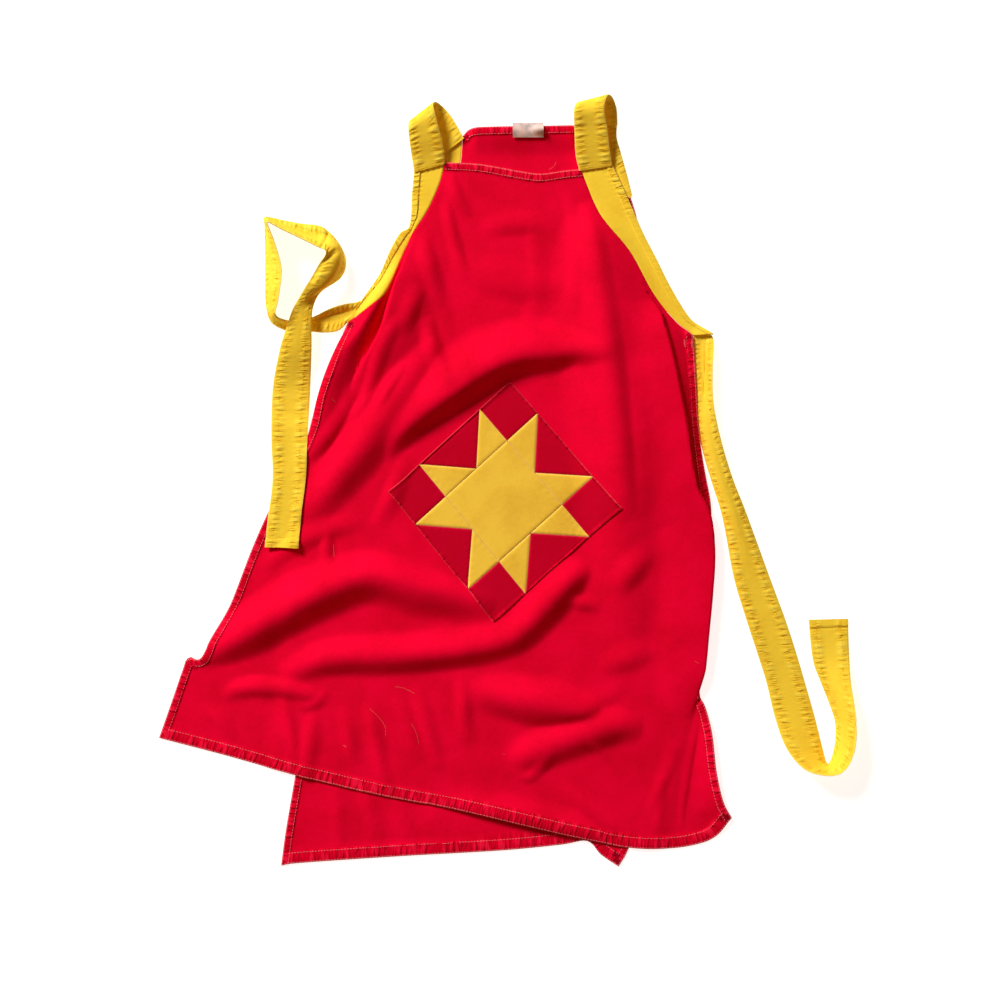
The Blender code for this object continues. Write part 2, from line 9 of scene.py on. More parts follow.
import bpy
import numpy as np
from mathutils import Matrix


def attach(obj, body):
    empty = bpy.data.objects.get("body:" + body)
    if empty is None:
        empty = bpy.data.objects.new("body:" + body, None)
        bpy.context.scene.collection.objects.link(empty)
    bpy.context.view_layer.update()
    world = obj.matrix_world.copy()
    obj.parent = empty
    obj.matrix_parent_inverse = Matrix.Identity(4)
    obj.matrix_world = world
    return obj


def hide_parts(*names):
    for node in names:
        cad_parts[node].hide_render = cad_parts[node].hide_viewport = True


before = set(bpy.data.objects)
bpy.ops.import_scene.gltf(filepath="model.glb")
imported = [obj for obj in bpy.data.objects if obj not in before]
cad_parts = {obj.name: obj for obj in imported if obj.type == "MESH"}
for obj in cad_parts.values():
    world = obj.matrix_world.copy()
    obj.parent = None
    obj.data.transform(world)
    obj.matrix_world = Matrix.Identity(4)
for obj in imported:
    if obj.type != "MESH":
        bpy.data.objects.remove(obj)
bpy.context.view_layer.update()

MM = 0.001

# Driving sizes, in millimetres
CLOTH = 1.4
HEM_EXTRA = 0.8
GAP = 0.3
SIDE_HEM = 9.0
BOTTOM_HEM = 13.0
NECK_HEM = 9.0
ARM_HEM = 8.0
TIE_END_HEM = 9.0
PATCH_CLOTH = 1.1
LABEL_CLOTH = 1.0
LAYER = CLOTH + HEM_EXTRA + GAP
ORIGIN_X, ORIGIN_Y = -2.2, -1.5
VIEW_X, VIEW_Y, VIEW_HEIGHT = -7.35, -20.5, 1458
BACK_PLATEAU = 16.0
BACK_FALL = 26.0
HEM_CURVE_REACH = 0.45
NECK_CURVE_REACH = 0.22

# Outlines from the hem corner upward, or from left to right. Columns: x, y
FRONT_HEM = [
    (-365, -270), (-296, -288), (-224, -308), (-131, -330), (-49, -345), (14, -359),
    (78, -374), (123, -384), (165, -386), (197, -382), (219, -373), (235, -353),
]
FRONT_LEFT_SIDE = [
    (-365, -270), (-351, -230), (-340, -198), (-335, -187), (-322, -187), (-315, -178), (-310, -167),
    (-291, -132), (-266, -68), (-244, -20), (-210, 43), (-197, 90), (-186, 121), (-167, 165),
]
FRONT_RIGHT_SIDE = [
    (235, -353), (226, -335), (219, -304), (214.5, -265), (208, -239), (201.5, -223), (205, -195),
    (210, -146), (214, -90), (214, -46), (213, -24), (206, 12), (200, 58), (198, 100), (195, 152),
]
FRONT_LEFT_SEAM = [(-167, 165), (-139, 184), (-124, 200), (-106, 243), (-85, 279), (-71, 310), (-65, 333)]
FRONT_RIGHT_SEAM = [(195, 152), (175, 168), (152, 197), (129, 238), (104, 268), (93, 286), (77, 326)]
FRONT_NECK = [(-65, 333), (-28, 331), (12, 324), (35, 321), (58, 324), (77, 326)]
FRONT_LEFT_ARM = [
    (-155, 185), (-144, 200), (-133, 217), (-128, 228), (-121.5, 243), (-112, 259), (-103, 265),
    (-100.5, 280), (-100, 295), (-97.5, 324),
]
FRONT_RIGHT_ARM = [
    (216, 153), (203, 161), (190, 172), (171, 203), (155, 235), (143, 258), (128, 292), (110, 331),
]

BACK_HEM = [
    (-237, -404), (-216, -401), (-112, -394), (-7, -388), (56, -382), (84, -378), (98, -392), (117, -405),
]
BACK_LEFT_SIDE = [
    (-237, -404), (-232, -367), (-224, -320), (-209, -230), (-194, -20), (-175, 127), (-161, 162),
    (-146, 185), (-122, 222), (-104, 255), (-93, 282),
]
BACK_RIGHT_SIDE = [
    (117, -405), (128, -385), (150, -325), (172, -230), (184, -125), (188, -20), (186, 142),
    (170, 172), (150, 222), (138, 262), (136, 276), (130, 296),
]
BACK_LEFT_SEAM = [(-93, 282), (-72, 290), (-57, 308), (-49, 331), (-46.5, 361)]
BACK_RIGHT_SEAM = [(130, 296), (110, 303), (96, 320), (87, 345), (83, 371)]
BACK_NECK = [(-46.5, 361), (-41, 366.5), (-30, 369), (6, 370), (40, 370.5), (70, 371), (83, 371)]
BACK_LEFT_ARM = [(-95, 286), (-87, 305), (-80, 323), (-75, 338)]
BACK_RIGHT_ARM = [(131, 300), (126, 320), (119, 345), (115, 360), (115.5, 375)]

# Hems of the panels. Columns: outline, width, +1 where the cloth lies on the left of the outline
FRONT_HEMS = [
    (FRONT_HEM, BOTTOM_HEM, 1), (FRONT_NECK, NECK_HEM, -1),
    (FRONT_LEFT_SIDE, SIDE_HEM, -1), (FRONT_RIGHT_SIDE, SIDE_HEM, 1),
]
BACK_HEMS = [
    (BACK_HEM, BOTTOM_HEM, 1), (BACK_NECK, NECK_HEM, -1),
    (BACK_LEFT_SIDE, SIDE_HEM, -1), (BACK_RIGHT_SIDE, SIDE_HEM, 1),
]

# Folds of the front as crest lines, travelled so that left and right widths are clear.
# Columns: x, y, height, width on the left, width on the right
FOLDS = {
    "upper arch": [
        (-130, 22, 0, 30, 14), (-109, 54, 11, 36, 20), (-56, 93, 17, 46, 23),
        (0, 126, 17, 46, 24), (58, 134, 13, 40, 22), (96, 131, 8, 34, 20), (116, 128, 0, 26, 14),
    ],
    "upper left": [
        (-214, -46, 0, 22, 20), (-182, -4, 9, 30, 28), (-147, 41, 12, 34, 32),
        (-108, 96, 10, 34, 30), (-78, 150, 0, 26, 20),
    ],
    "lower arch": [
        (-330, -186, 0, 20, 12), (-310, -180, 6, 26, 20), (-268, -157, 14, 34, 30), (-205, -122, 16, 36, 30),
        (-143, -100, 15, 30, 32), (-88, -113, 14, 24, 36), (-38, -128, 6, 22, 24), (-14, -138, 0, 20, 16),
    ],
    "lower sweep": [
        (-236, -206, 0, 16, 16), (-190, -187, 9, 24, 22), (-120, -183, 11, 26, 24), (-49, -177, 11, 26, 22),
        (5, -164, 10, 24, 22), (39, -132, 12, 26, 24), (66, -104, 10, 24, 20), (88, -88, 0, 20, 16),
    ],
    "hem ridge": [
        (0, -298, 0, 18, 18), (30, -284, 8, 26, 24), (76, -267, 10, 28, 26), (112, -257, 9, 24, 24),
        (142, -262, 0, 18, 18),
    ],
    "hem hollow": [
        (-44, -220, 0, 20, 20), (-8, -224, 9, 26, 28), (24, -229, 13, 28, 32), (56, -235, 12, 28, 28),
        (84, -243, 7, 20, 18), (100, -248, 0, 14, 14),
    ],
    "chest line": [
        (84, 292, 0, 14, 24), (94, 236, 12, 50, 50), (104, 137, 17, 76, 58), (115, 40, 17, 76, 56),
        (122, -40, 13, 72, 54), (130, -120, 8, 66, 50), (134, -180, 0, 50, 40),
    ],
    "right roll": [
        (147, 190, 2, 6, 46), (152.5, 166, 11, 6, 56), (160, 137, 15, 6, 62), (168, 100, 16, 6, 100),
        (175, 63.5, 16, 6, 104), (179, 32, 16, 6, 104), (183, 9, 16, 6, 104), (188, -12, 15, 7, 104),
        (199, -32, 14, 8, 100), (204, -56, 13, 8, 98), (205, -90, 12, 8, 96), (200.5, -146, 11, 8, 80),
        (196, -195, 9, 8, 50), (192, -225, 4, 10, 40), (188, -250, 0, 12, 36),
    ],
    "left roll": [
        (-88, 290, 0, 30, 6), (-96, 254, 2.5, 40, 6), (-103, 223, 8, 46, 6), (-110, 207, 11, 50, 6),
        (-118.5, 182, 12, 52, 6), (-125, 158, 11, 50, 7), (-135, 137, 9, 46, 8), (-149, 112, 4, 36, 12),
        (-162, 88, 0, 30, 14),
    ],
    "left bank": [
        (-112, 236, 0, 6, 8), (-120, 213, 6, 7, 12), (-135, 186, 10, 9, 16), (-151, 160, 11, 15, 14),
        (-171, 132, 10, 24, 12), (-185, 104, 9, 28, 9), (-197, 60, 6, 28, 9), (-206, 20, 0, 22, 8),
    ],
    "flap": [
        (206, -236, 2, 10, 12), (215, -265, 6, 14, 22), (221, -300, 7, 14, 32), (228, -335, 6, 14, 38),
        (232, -352, 3, 14, 30),
    ],
}
FOLD_BLEND = 3.0

# Ribbons by their two edges, the first on the right of the way travelled, x and y as seen from the
# view point. Columns: x, y, z of the right edge, x, y, z of the left edge, arch upward
STRAP_LEFT = [
    (-65.2, 332, 4.6, -97.4, 323.4, 4.6, 0), (-66, 345, 9, -99.8, 338, 7, 0),
    (-68.7, 359, 14, -101.6, 350, 11, 0), (-72.5, 373, 18, -103, 361, 14, 0),
    (-76, 387, 20, -103.6, 369, 16, 0), (-77.6, 395, 17, -103, 375.5, 13, 0),
    (-75, 397.6, 11, -100.5, 378, 8, 0), (-70, 394.5, 5, -97, 375, 4, 0),
    (-64, 389, 1, -92, 368, 0.5, 0), (-57, 380, 1, -86, 358, 1, 0), (-45, 359, 2.6, -74.2, 336.5, 2.6, 0),
]
STRAP_RIGHT = [
    (110.4, 330, 4.6, 75.8, 325, 4.6, 0), (108, 345, 9, 72, 342, 9, 0), (105, 370, 16, 70.7, 368, 15, 0),
    (102, 389, 21, 70, 385, 20, 0), (103.6, 400, 19, 71, 392.5, 18, 0),
    (106.5, 405.4, 13, 73.5, 396.3, 13, 0), (110.4, 402.8, 7, 76, 394.5, 7, 0),
    (113.4, 396.5, 2, 79, 390, 2.5, 0), (115.3, 388, 0.6, 81.5, 383, 0.6, 0),
    (116, 373, 2.6, 84, 369, 2.6, 0),
]
TIE_LEFT = [
    (-151, 190, 0.4, -160, 171, 0.4, 0), (-158, 187, 2, -166, 167, 1, 0), (-171, 185, 6, -177, 157, 1, -3.5),
    (-187, 180, 7, -193, 155, 0, -4), (-203, 172, 6.5, -206, 156, 0, -3.5),
    (-218, 168, 6, -219, 154, 0, -2.5), (-234, 169, 10, -234, 158, 0, -2), (-243, 175, 24, -248, 167, 0, 0),
    (-240, 190, 29, -253, 187, 0, 2), (-236.5, 221, 30, -253.5, 219, 0, 3),
    (-243, 247, 31, -253.5, 247, 0, 2), (-250, 265, 33, -254, 268, 0, 0),
    (-252, 271.5, 33, -254.6, 276, 0, 0), (-245, 268.5, 32, -246, 275.4, 0, -1),
    (-237, 264, 31, -237, 273.5, 0, -2), (-216, 254, 29, -216, 269.5, 0, -4),
    (-200, 246, 28, -198, 267.5, 0, -4), (-191, 242, 28, -188, 262, 0, 0), (-191, 236, 28, -176, 248, 0, 8),
    (-197, 228, 27, -169, 230, 1, 11), (-207, 211, 25, -174, 213, 4, 10), (-218, 192, 18, -194, 199, 9, 5),
    (-225, 179, 14, -203, 183, 11, 2), (-231.5, 160, 12, -205, 163, 11, 2),
    (-238.5, 137, 9, -205, 137, 9, 2), (-246, 95, 0, -206.5, 95, 0, 1), (-247, 43, 1, -209, 43, 3, 0),
    (-246, 1, 4, -211, 1, 4, 0), (-251, -41, 4, -216, -41, 4, 0), (-254, -70, 4, -218, -71, 4, 0),
]
TIE_RIGHT = [
    (194, 156, 0, 207, 157, 0.2, 0), (195, 149, 0, 215.5, 151.5, 1.5, -0.5),
    (194.5, 137, 0, 217, 137, 8, -4), (195.5, 120, 0, 216, 120, 12, -5), (197.5, 86, 0, 216.5, 86, 11, -3),
    (199.5, 58, 0, 220.5, 60, 9, 2), (206, 28, 0, 228, 30, 7, 4), (215, -3, 0, 237.5, 0, 5, 5),
    (223, -28, 0, 247.5, -25, 3, 5), (229, -54, 0, 257.5, -52, 1, 4), (238, -103, 0, 275, -100, 0, 1),
    (251.5, -148, 0, 292, -146, 0, 0), (262, -180, 0, 302.5, -178, 0, 0), (272, -212, 0, 312, -210, 0, 0),
    (281, -249, 4, 322.5, -247, 0, 1), (293, -281, 14, 330.5, -279, 0, 2),
    (312, -303, 25, 334.5, -294, 0, 2), (336, -310, 29, 338, -297, 0, 2), (353, -306, 29, 342, -286, 0, 2),
    (363.5, -289, 28, 344.5, -271, 0, 2), (367, -263, 27, 344, -253, 0, 2), (365, -237, 23, 338, -234, 0, 2),
    (361, -213, 13, 328, -209, 0, 2), (359, -184, 4, 320.5, -187, 0, 1), (357.5, -145, 0, 316, -146, 0, 0),
]
TIE_OVER_FRONT_Y, TIE_CLIMB = 78, 22
TIE_LAST_STRETCH = 0.5

# Patchwork block on point. Its corners: left, top, right, bottom. Columns: x, y
BLOCK = [(-124, -12), (3, 104), (120, -29), (-14, -149)]
SEAM_HALF = 0.18

LABEL_LEFT, LABEL_RIGHT = 6, 38
LABEL_LOW, LABEL_HIGH = 358, 373

# Fine grids of the dressed cloth. Counts: columns, rows up the side, rows up the seam. Steps in millimetres
FRONT_COUNTS, BACK_COUNTS = (186, 140, 58), (70, 90, 26)
COLUMN_CROWD = 0.62
CRESCENT_STEP, CRESCENT_COLUMNS = 1.25, 14
RIBBON_STEP, RIBBON_COLUMNS = 1.15, 22
PATCH_STEP = 2.4
SLOPE_STEP = 0.4

# Points along smooth curves, outlines and crest lines
CURVE_PARTS, LENGTH_POINTS, OUTLINE_POINTS = 12, 200, 90
FOLD_POINTS, ROLL_POINTS = 6, 8
FAR = 1e3

# Kept off zero before a division, and how close points are one: on the grid, and when merged in metres
NO_SLOPE, NO_LENGTH = 1e-12, 1e-9
SAME_PLACE, MERGE_REACH = 1e-6, 1e-5

# Edges, hems and grooves, in millimetres
EDGE_LINE, EDGE_ROUND, EDGE_DROP = 0.6, 1.6, 0.55
FOLD_STEP = 1.2
GROOVE_WIDTH, GROOVE_DEPTH, RIBBON_GROOVE = 0.9, 0.3, 0.12
FOLD_STITCH_INSET, EDGE_STITCH_INSET, EDGE_STITCH_SINK = 1.8, 1.1, 0.1
INSET_SPACING, INSET_KEPT, SHORTEST_ROW = 2, 0.93, 3
THINNEST = 0.5

# Armhole pieces: hem as a share of a narrow place, lines over the hem, and gathers along it and by the strap
ARM_HEM_MOST = 0.6
ARM_HEM_LINES = [0.86, 0.7, 0.5, 0.3, 0.12, 0.04, 0]
ARM_EDGE_MOST, ARM_INNER_START, ARM_INNER_MOST = 0.2, 1, 0.3
ARM_STITCH_INSET, ARM_PUCKER_WIDTH, ARM_END_FADE = 1.4, 4.2, 6
GATHER_REACH, GATHER_FADE = 70.0, 20
STRAP_GATHER, STRAP_GATHER_REACH, STRAP_GATHER_FADE, STRAP_GATHER_PHASE = 0.5, 14, 12, 2
EDGE_MARK_MOST = 60

# Ribbons: bend across, stitch rows, puckers, hemmed end, and fades of the folded-in lines
BEND_PLACE, BEND_ROUND = 0.45, 0.12
RIBBON_RELAX = 2
TIE_STITCH_INSET, STRAP_STITCH_INSET = 8.0, 6.5
RIBBON_PUCKER_WIDTH, RIBBON_END_FADE, FAR_EDGE_PHASE = 5.0, 5, 2.6
END_GROOVE, END_GROOVE_WIDTH, END_STITCH_INSET, SEAM_STITCH_INSET = 0.4, 1.2, 1, 1.6
END_STITCH_POINTS = 40
CREASE_FADE, CREASE_START = 3, 0.25

# Puckers. Columns of a drift: strength, pitch, turn of the phase
DRIFTS = [(1.4, 11.3, 1.0), (0.9, 4.7, 2.1)]
PUCKER_EVEN, PUCKER_UNEVEN, PUCKER_SLOW, PUCKER_SLOW_TURN, PUCKER_QUICK = 0.62, 0.38, 17.0, 1.7, 7.9
PUCKER_PITCH, TIE_PUCKER, STRAP_PUCKER, ARM_PUCKER = 5.6, 0.4, 0.4, 0.35
STITCH_PITCH, STITCH_LENGTH, STITCH_WIDTH, STITCH_HEIGHT = 3.1, 2.3, 0.5, 0.36
STITCH_RAISE, STITCH_REACH = 0.04, 0.6
STITCH_SEGMENTS, STITCH_RINGS = 6, 5
SHEET_SMOOTH_ANGLE, THREAD_SMOOTH_ANGLE = 60, 80

# Patches: turned edge, its puckers, and the block's raised rim with a groove inside it and a mark along it
# for painted pucker shade and highlight
QUARTERS = 4
PATCH_LINES, PATCH_INNER_START = [0, 0.6, 1.5], 3
PATCH_EDGE, PATCH_EDGE_DROP, PATCH_EDGE_POWER = 2.2, 0.75, 1.6
PATCH_PUCKER, PATCH_PUCKER_PITCH, PATCH_PUCKER_PLACE, PATCH_PUCKER_WIDTH = 0.16, 0.8, 3, 3.2
RIM_RISE, RIM_PLACE, RIM_WIDTH, RIM_MARK = 0.75, 0.9, 1.5, 2.4
RIM_GROOVE, RIM_GROOVE_PLACE, RIM_GROOVE_WIDTH = 0.45, 2.6, 0.8
PATCH_PHASE = 0.9

# Label: counts of lines, the curl of its far end and of its near end, and its thickness beside its mark
LABEL_COLUMNS, LABEL_ROWS = 26, 14
LABEL_CURL, LABEL_CURL_START, LABEL_CURL_SPEED, LABEL_NEAR_CURL = 4.5, 0.45, 2, 1.6
LABEL_WALL, LABEL_HALF, LABEL_LONG = 0.8, 12, 30

# How a roll leans over its own foot. Columns: shift of its crest, reach on its open side, +1 leans left
LEANS = {"right roll": (9.4, 30.0, 1), "left roll": (5.0, 26.0, -1)}
LEAN_RISE = 1.8

# The right side's hem is rolled out of sight between these two heights on the table
ROLLED_LOW, ROLLED_HIGH, ROLLED_FADE = -228, -38, 8

# The back of the neck slopes up: rise, where it starts, and how far it takes; then its two sides
NECK_RISE, NECK_RISE_START, NECK_RISE_REACH = 6.0, 338, 28
NECK_RISE_LEFT, NECK_RISE_RIGHT, NECK_RISE_SIDE = -44, 80, 14

# Small creases of the front. Columns: x, y, height, width on the left, width on the right
CREASES = {
    "hem crease one": [
        (-242, -214, 0, 9, 9), (-229, -246, 2.6, 7, 12), (-224, -270, 2.2, 7, 12), (-222, -316, 0, 9, 9),
    ],
    "hem crease two": [(-203, -236, 0, 12, 10), (-206, -270, 3.4, 14, 12), (-212, -312, 2, 12, 10)],
    "hem crease three": [(-146, -232, 0, 10, 10), (-140, -262, 3.8, 12, 10), (-128, -318, 2, 10, 10)],
    "hem crease four": [(-98, -214, 0, 10, 10), (-86, -250, 3.8, 12, 10), (-72, -296, 1.2, 10, 10)],
    "hem crease five": [(-48, -200, 0, 9, 9), (-46, -236, 4.2, 12, 9), (-42, -280, 0, 9, 9)],
    "hem crease six": [(62, -318, 0, 10, 10), (82, -342, 3.2, 12, 10), (110, -366, 1.5, 10, 10)],
    "corner crease": [(166, -290, 0, 8, 8), (160, -330, 1.2, 9, 8), (158, -362, 0.6, 9, 8)],
    "neck crease one": [(-62, 322, 0, 8, 10), (-53, 300, 3.4, 9, 12), (-38, 274, 0, 9, 10)],
    "neck crease three": [
        (-64, 298, 0, 8, 8), (-60, 268, 3, 9, 10), (-50, 234, 3, 9, 10), (-38, 206, 0, 9, 9),
    ],
    "neck crease two": [
        (-88, 262, 0, 9, 9), (-82, 232, 3.6, 11, 12), (-72, 190, 2.6, 14, 12), (-58, 140, 0, 12, 12),
    ],
    "chest crease": [(-30, 262, 0, 16, 12), (10, 268, 3, 22, 14), (52, 262, 0, 16, 12)],
    "chest slope": [(-60, 226, 0, 22, 16), (0, 205, 4, 34, 22), (60, 200, 0, 22, 18)],
    "side crease one": [(-140, 70, 0, 8, 8), (-124, 96, 3, 9, 8), (-106, 126, 0, 8, 8)],
    "side crease two": [
        (-172, 62, 0, 9, 9), (-150, 82, 2.6, 9, 9), (-120, 150, 2.2, 9, 9), (-104, 172, 0, 9, 9),
    ],
    "chest ridge": [
        (82, 290, 0, 12, 16), (89, 250, 3.6, 16, 24), (97, 200, 3.8, 17, 26), (105, 140, 5.5, 18, 28),
        (112, 80, 6, 19, 28), (118, 30, 5.5, 19, 26), (122, -10, 3.5, 18, 22), (126, -44, 0, 16, 18),
    ],
    "arch dent": [
        (-84, 172, 0, 10, 12), (-78, 142, 6.5, 12, 14), (-68, 116, 4, 12, 12), (-56, 96, 0, 10, 10),
    ],
    "spot": [(-188, -48, 0, 8, 9), (-188, -70, 4, 8, 10), (-185, -94, 0, 8, 9)],
    "sweep end": [(62, -124, 0, 9, 9), (78, -128, 4.5, 10, 10), (98, -134, 0, 9, 9)],
    "hem lift": [
        (-70, -334, 0, 22, 18), (-30, -343, 4, 24, 20), (20, -353, 6, 24, 20), (70, -364, 5, 22, 20),
        (104, -374, 0, 16, 16),
    ],
    "belly crease": [(110, -118, 0, 16, 14), (128, -96, 4.5, 22, 18), (150, -70, 0, 16, 14)],
    "lower crease": [(96, -196, 0, 16, 14), (126, -186, 4, 22, 18), (160, -176, 0, 16, 14)],
    "flap line": [
        (203, -226, 0, 5, 5), (196, -272, 1.3, 4, 8), (189, -314, 1.2, 4, 9), (184, -346, 1, 4, 6),
        (182, -368, 0, 4, 4),
    ],
    "arch end": [(48, 140, 0, 20, 16), (76, 136, 5, 24, 19), (98, 133, 5, 20, 18), (114, 128, 0, 12, 14)],
    "right bank": [
        (160, 176, 0, 10, 6), (168, 150, 6, 18, 7), (177, 118, 8, 18, 8), (183, 90, 8, 15, 8),
        (188, 60, 7, 13, 8), (194, 24, 6, 12, 8), (203, -8, 3, 10, 8), (210, -30, 0, 8, 8),
    ],
    "crescent lip": [(192, 150, 0, 10, 6), (205, 151, 3, 16, 6), (222, 152, 5, 20, 6)],
    "arm wrinkle": [(-110, 150, 0, 10, 10), (-100, 176, 3, 12, 10), (-92, 204, 0, 10, 10)],
    "fan one": [
        (-226, -222, 0, 8, 8), (-212, -236, 2.2, 9, 7), (-198, -232, 2.4, 8, 7), (-190, -218, 0, 7, 7),
    ],
    "fan two": [(-176, -238, 0, 10, 10), (-166, -268, 3.4, 12, 8), (-160, -300, 0, 10, 8)],
    "fan three": [(-120, -224, 0, 10, 10), (-104, -256, 3.2, 12, 10), (-92, -292, 0, 10, 10)],
    "fan four": [(-322, -236, 0, 10, 10), (-300, -252, 2.4, 14, 12), (-284, -274, 0, 10, 10)],
    "smile": [
        (-22, -218, 0, 12, 12), (14, -243, 1.6, 20, 12), (56, -248, 2, 22, 12), (98, -232, 1.6, 20, 12),
        (126, -208, 0, 14, 12),
    ],
    "hook": [(8, -302, 0, 6, 6), (22, -312, 2.6, 8, 6), (38, -298, 2.2, 9, 6), (48, -282, 0, 8, 6)],
    "short one": [(84, -270, 0, 6, 6), (96, -282, 2, 8, 6), (110, -296, 0, 6, 6)],
    "short two": [
        (150, -352, 0, 8, 8), (156, -330, 1.4, 9, 8), (170, -300, 1.2, 12, 9), (176, -270, 0, 10, 9),
    ],
    "chest streak": [
        (20, 300, 0, 12, 12), (28, 250, 1.5, 16, 12), (30, 190, 1.4, 18, 14), (18, 140, 0, 14, 12),
    ],
    "shoulder streak": [
        (62, 306, 0, 9, 9), (70, 262, 1.3, 12, 10), (72, 210, 1.2, 14, 12), (64, 160, 0, 12, 12),
    ],
    "right dent": [
        (120, 96, 0, 16, 16), (136, 52, 1.8, 24, 20), (140, 0, 1.8, 24, 20), (132, -50, 0, 18, 18),
    ],
    "mid streak": [(-104, 30, 0, 12, 12), (-120, -14, 3, 16, 12), (-140, -54, 0, 14, 12)],
    "left pull": [
        (-214, 20, 0, 10, 10), (-188, 44, 3, 14, 10), (-170, 74, 2.6, 12, 10), (-160, 104, 0, 10, 10),
    ],
    "left slope": [
        (-258, -96, 0, 12, 12), (-226, -70, 3.4, 18, 14), (-186, -52, 3, 18, 14), (-150, -44, 0, 14, 12),
    ],
    "left crease": [
        (-300, -226, 0, 10, 10), (-272, -217, 5, 14, 14), (-236, -218, 5.5, 14, 14), (-210, -224, 4, 12, 12),
        (-194, -234, 0, 8, 8),
    ],
}

# Small creases of the back below the front's hem, in the same columns
BACK_CREASES = {
    "back crease one": [
        (-152, -318, 0, 9, 9), (-147, -334, 2.8, 9, 10), (-139, -364, 2.4, 9, 10), (-136, -384, 0.8, 9, 9),
    ],
    "back crease two": [
        (-118, -328, 0, 9, 9), (-113, -342, 2.6, 9, 10), (-106, -366, 2.2, 9, 10), (-102, -380, 0.6, 9, 9),
    ],
    "back crease three": [
        (-86, -336, 0, 9, 9), (-79, -350, 2.6, 9, 10), (-66, -372, 2, 9, 10), (-60, -384, 0.5, 9, 9),
    ],
    "back crease four": [
        (-190, -312, 0, 9, 9), (-180, -334, 2, 12, 9), (-176, -366, 1.6, 12, 9), (-176, -388, 0.5, 9, 9),
    ],
}

# Lines folded into the ribbons. Columns: share of the length where it starts and ends, depth, width, points
RIBBON_CREASES = {
    "tie_left": [
        (0.0, 0.12, 3.0, 3.0, (-206, 166), (-180, 173), (-157, 177)),
        (0.12, 0.36, 2.2, 1.6, (-253, 270), (-247, 250), (-241, 229)),
        (0.3, 0.55, 1.6, 1.4, (-240, 275), (-217, 264), (-196, 257), (-186, 257)),
        (0.3, 0.55, 1.6, 2.4, (-248, 272), (-217, 257), (-190, 252)),
        (0.3, 0.6, 3.4, 1.8, (-189, 270), (-188, 252), (-192, 238)),
        (0.4, 0.7, 2.4, 3.4, (-174, 240), (-191, 223), (-205, 202)),
    ],
    "tie_right": [
        (0.0, 0.2, 1.8, 1.4, (194, 137), (207, 105), (207, 88)),
        (0.0, 0.2, 2.2, 1.1, (208, 150), (208, 107)),
        (0.7, 1.0, 0.9, 1.0, (347, -199), (360, -251), (355, -293), (339, -309)),
    ],
}

# Hairs and lint on the front, in pixels of the picture; its scale and middle; small thread sizes
HAIRS = [
    [(548, 171), (553, 168), (556, 163)], [(370, 708), (378, 716), (385, 725), (386, 736)],
    [(411, 722), (416, 732), (419, 743)], [(395, 686), (405, 688), (415, 693)], [(333, 544), (334, 557)],
    [(344, 744), (348, 746)], [(686, 659), (689, 661)], [(333, 399), (336, 403)], [(503, 753), (505, 754)],
]
PIXEL_X, PIXEL_Y, PIXEL_MM = 507, 480.5, 1.05
HAIR_LIFT, HAIR_RADIUS = 0.3, 0.11
TACKS = [(185, 143), (193.5, 142.5)]
TACK_SHAPE = [(-1, 4), (0.8, 3), (-0.8, 2), (0.9, 1), (-0.9, 0), (0.9, -1), (-0.8, -2), (0.8, -3), (0, -4)]
TACK_LIFT, TACK_RADIUS = 1.0, 0.2
HAIR_POINTS, TACK_POINTS = 24, 30
THREAD_SIDES, THREAD_TIP, THREAD_UP = 5, 0.45, (0.1, 0.2, 1.0)

# Colours, linear. The deep red, yellow and mustard serve both uneven dye and painted shade in pucker valleys
# and along hem folds; the puffed red and yellow are painted highlights on pucker crests
RED = (0.86, 0.0, 0.032, 1)
RED_DEEP_DYE_AND_SHADE = (0.52, 0.0, 0.008, 1)
RED_PATCH = (0.58, 0.0, 0.022, 1)
# Painted highlight on the crests of the hems' puckers
RED_CREST_HIGHLIGHT = (1.0, 0.012, 0.062, 1)
RED_WORN = (0.90, 0.13, 0.16, 1)
YELLOW = (0.97, 0.67, 0.045, 1)
YELLOW_DEEP_DYE_AND_SHADE = (0.80, 0.38, 0.006, 1)
# Painted highlight on the crests of the hems' puckers
YELLOW_CREST_HIGHLIGHT = (1.0, 0.80, 0.10, 1)
YELLOW_WORN = (0.98, 0.84, 0.26, 1)
MUSTARD = (0.96, 0.62, 0.060, 1)
MUSTARD_DEEP_DYE_AND_SHADE = (0.66, 0.31, 0.010, 1)
THREAD_PALE = (1.0, 0.30, 0.34, 1)
THREAD_YELLOW = (0.88, 0.52, 0.035, 1)
LABEL_PINK = (0.86, 0.62, 0.55, 1)
LABEL_GREY = (0.42, 0.38, 0.38, 1)
LINT = (0.86, 0.24, 0.19, 1)
FLOOR = (0.6, 0.6, 0.6, 1)

# Grain of the materials: noises and waves, heights, shares, and bumps as strength and distance
TWILL = {"Scale": 620.0, "Distortion": 1.5, "Detail": 1.0, "Detail Scale": 2.0}
YARN = {"Scale": 900.0, "Detail": 2.0, "Roughness": 0.6}
DYE = {"Scale": 22.0, "Detail": 4.0, "Roughness": 0.55}
GRAIN = {"Scale": 260.0, "Detail": 3.0, "Roughness": 0.7}
STREAK = {"Scale": 1.0, "Detail": 1.0, "Roughness": 0.4}
TWIST = {"Scale": 700.0, "Distortion": 2.0}
TAPE_WEAVE = {"Scale": 600.0, "Distortion": 0.4}
TAPE_MOTTLE = {"Scale": 120.0, "Detail": 4.0}
TWILL_RISE, YARN_RISE, STREAK_RISE, DYE_RISE = 0.00005, 0.00006, 0.001, 0.0009
STREAK_CREST, STREAK_VALLEY = 1.6, 0.5
CLOTH_BUMP, THREAD_BUMP, LABEL_BUMP = (1.0, 1.0), (0.3, 0.0001), (0.4, 0.0002)
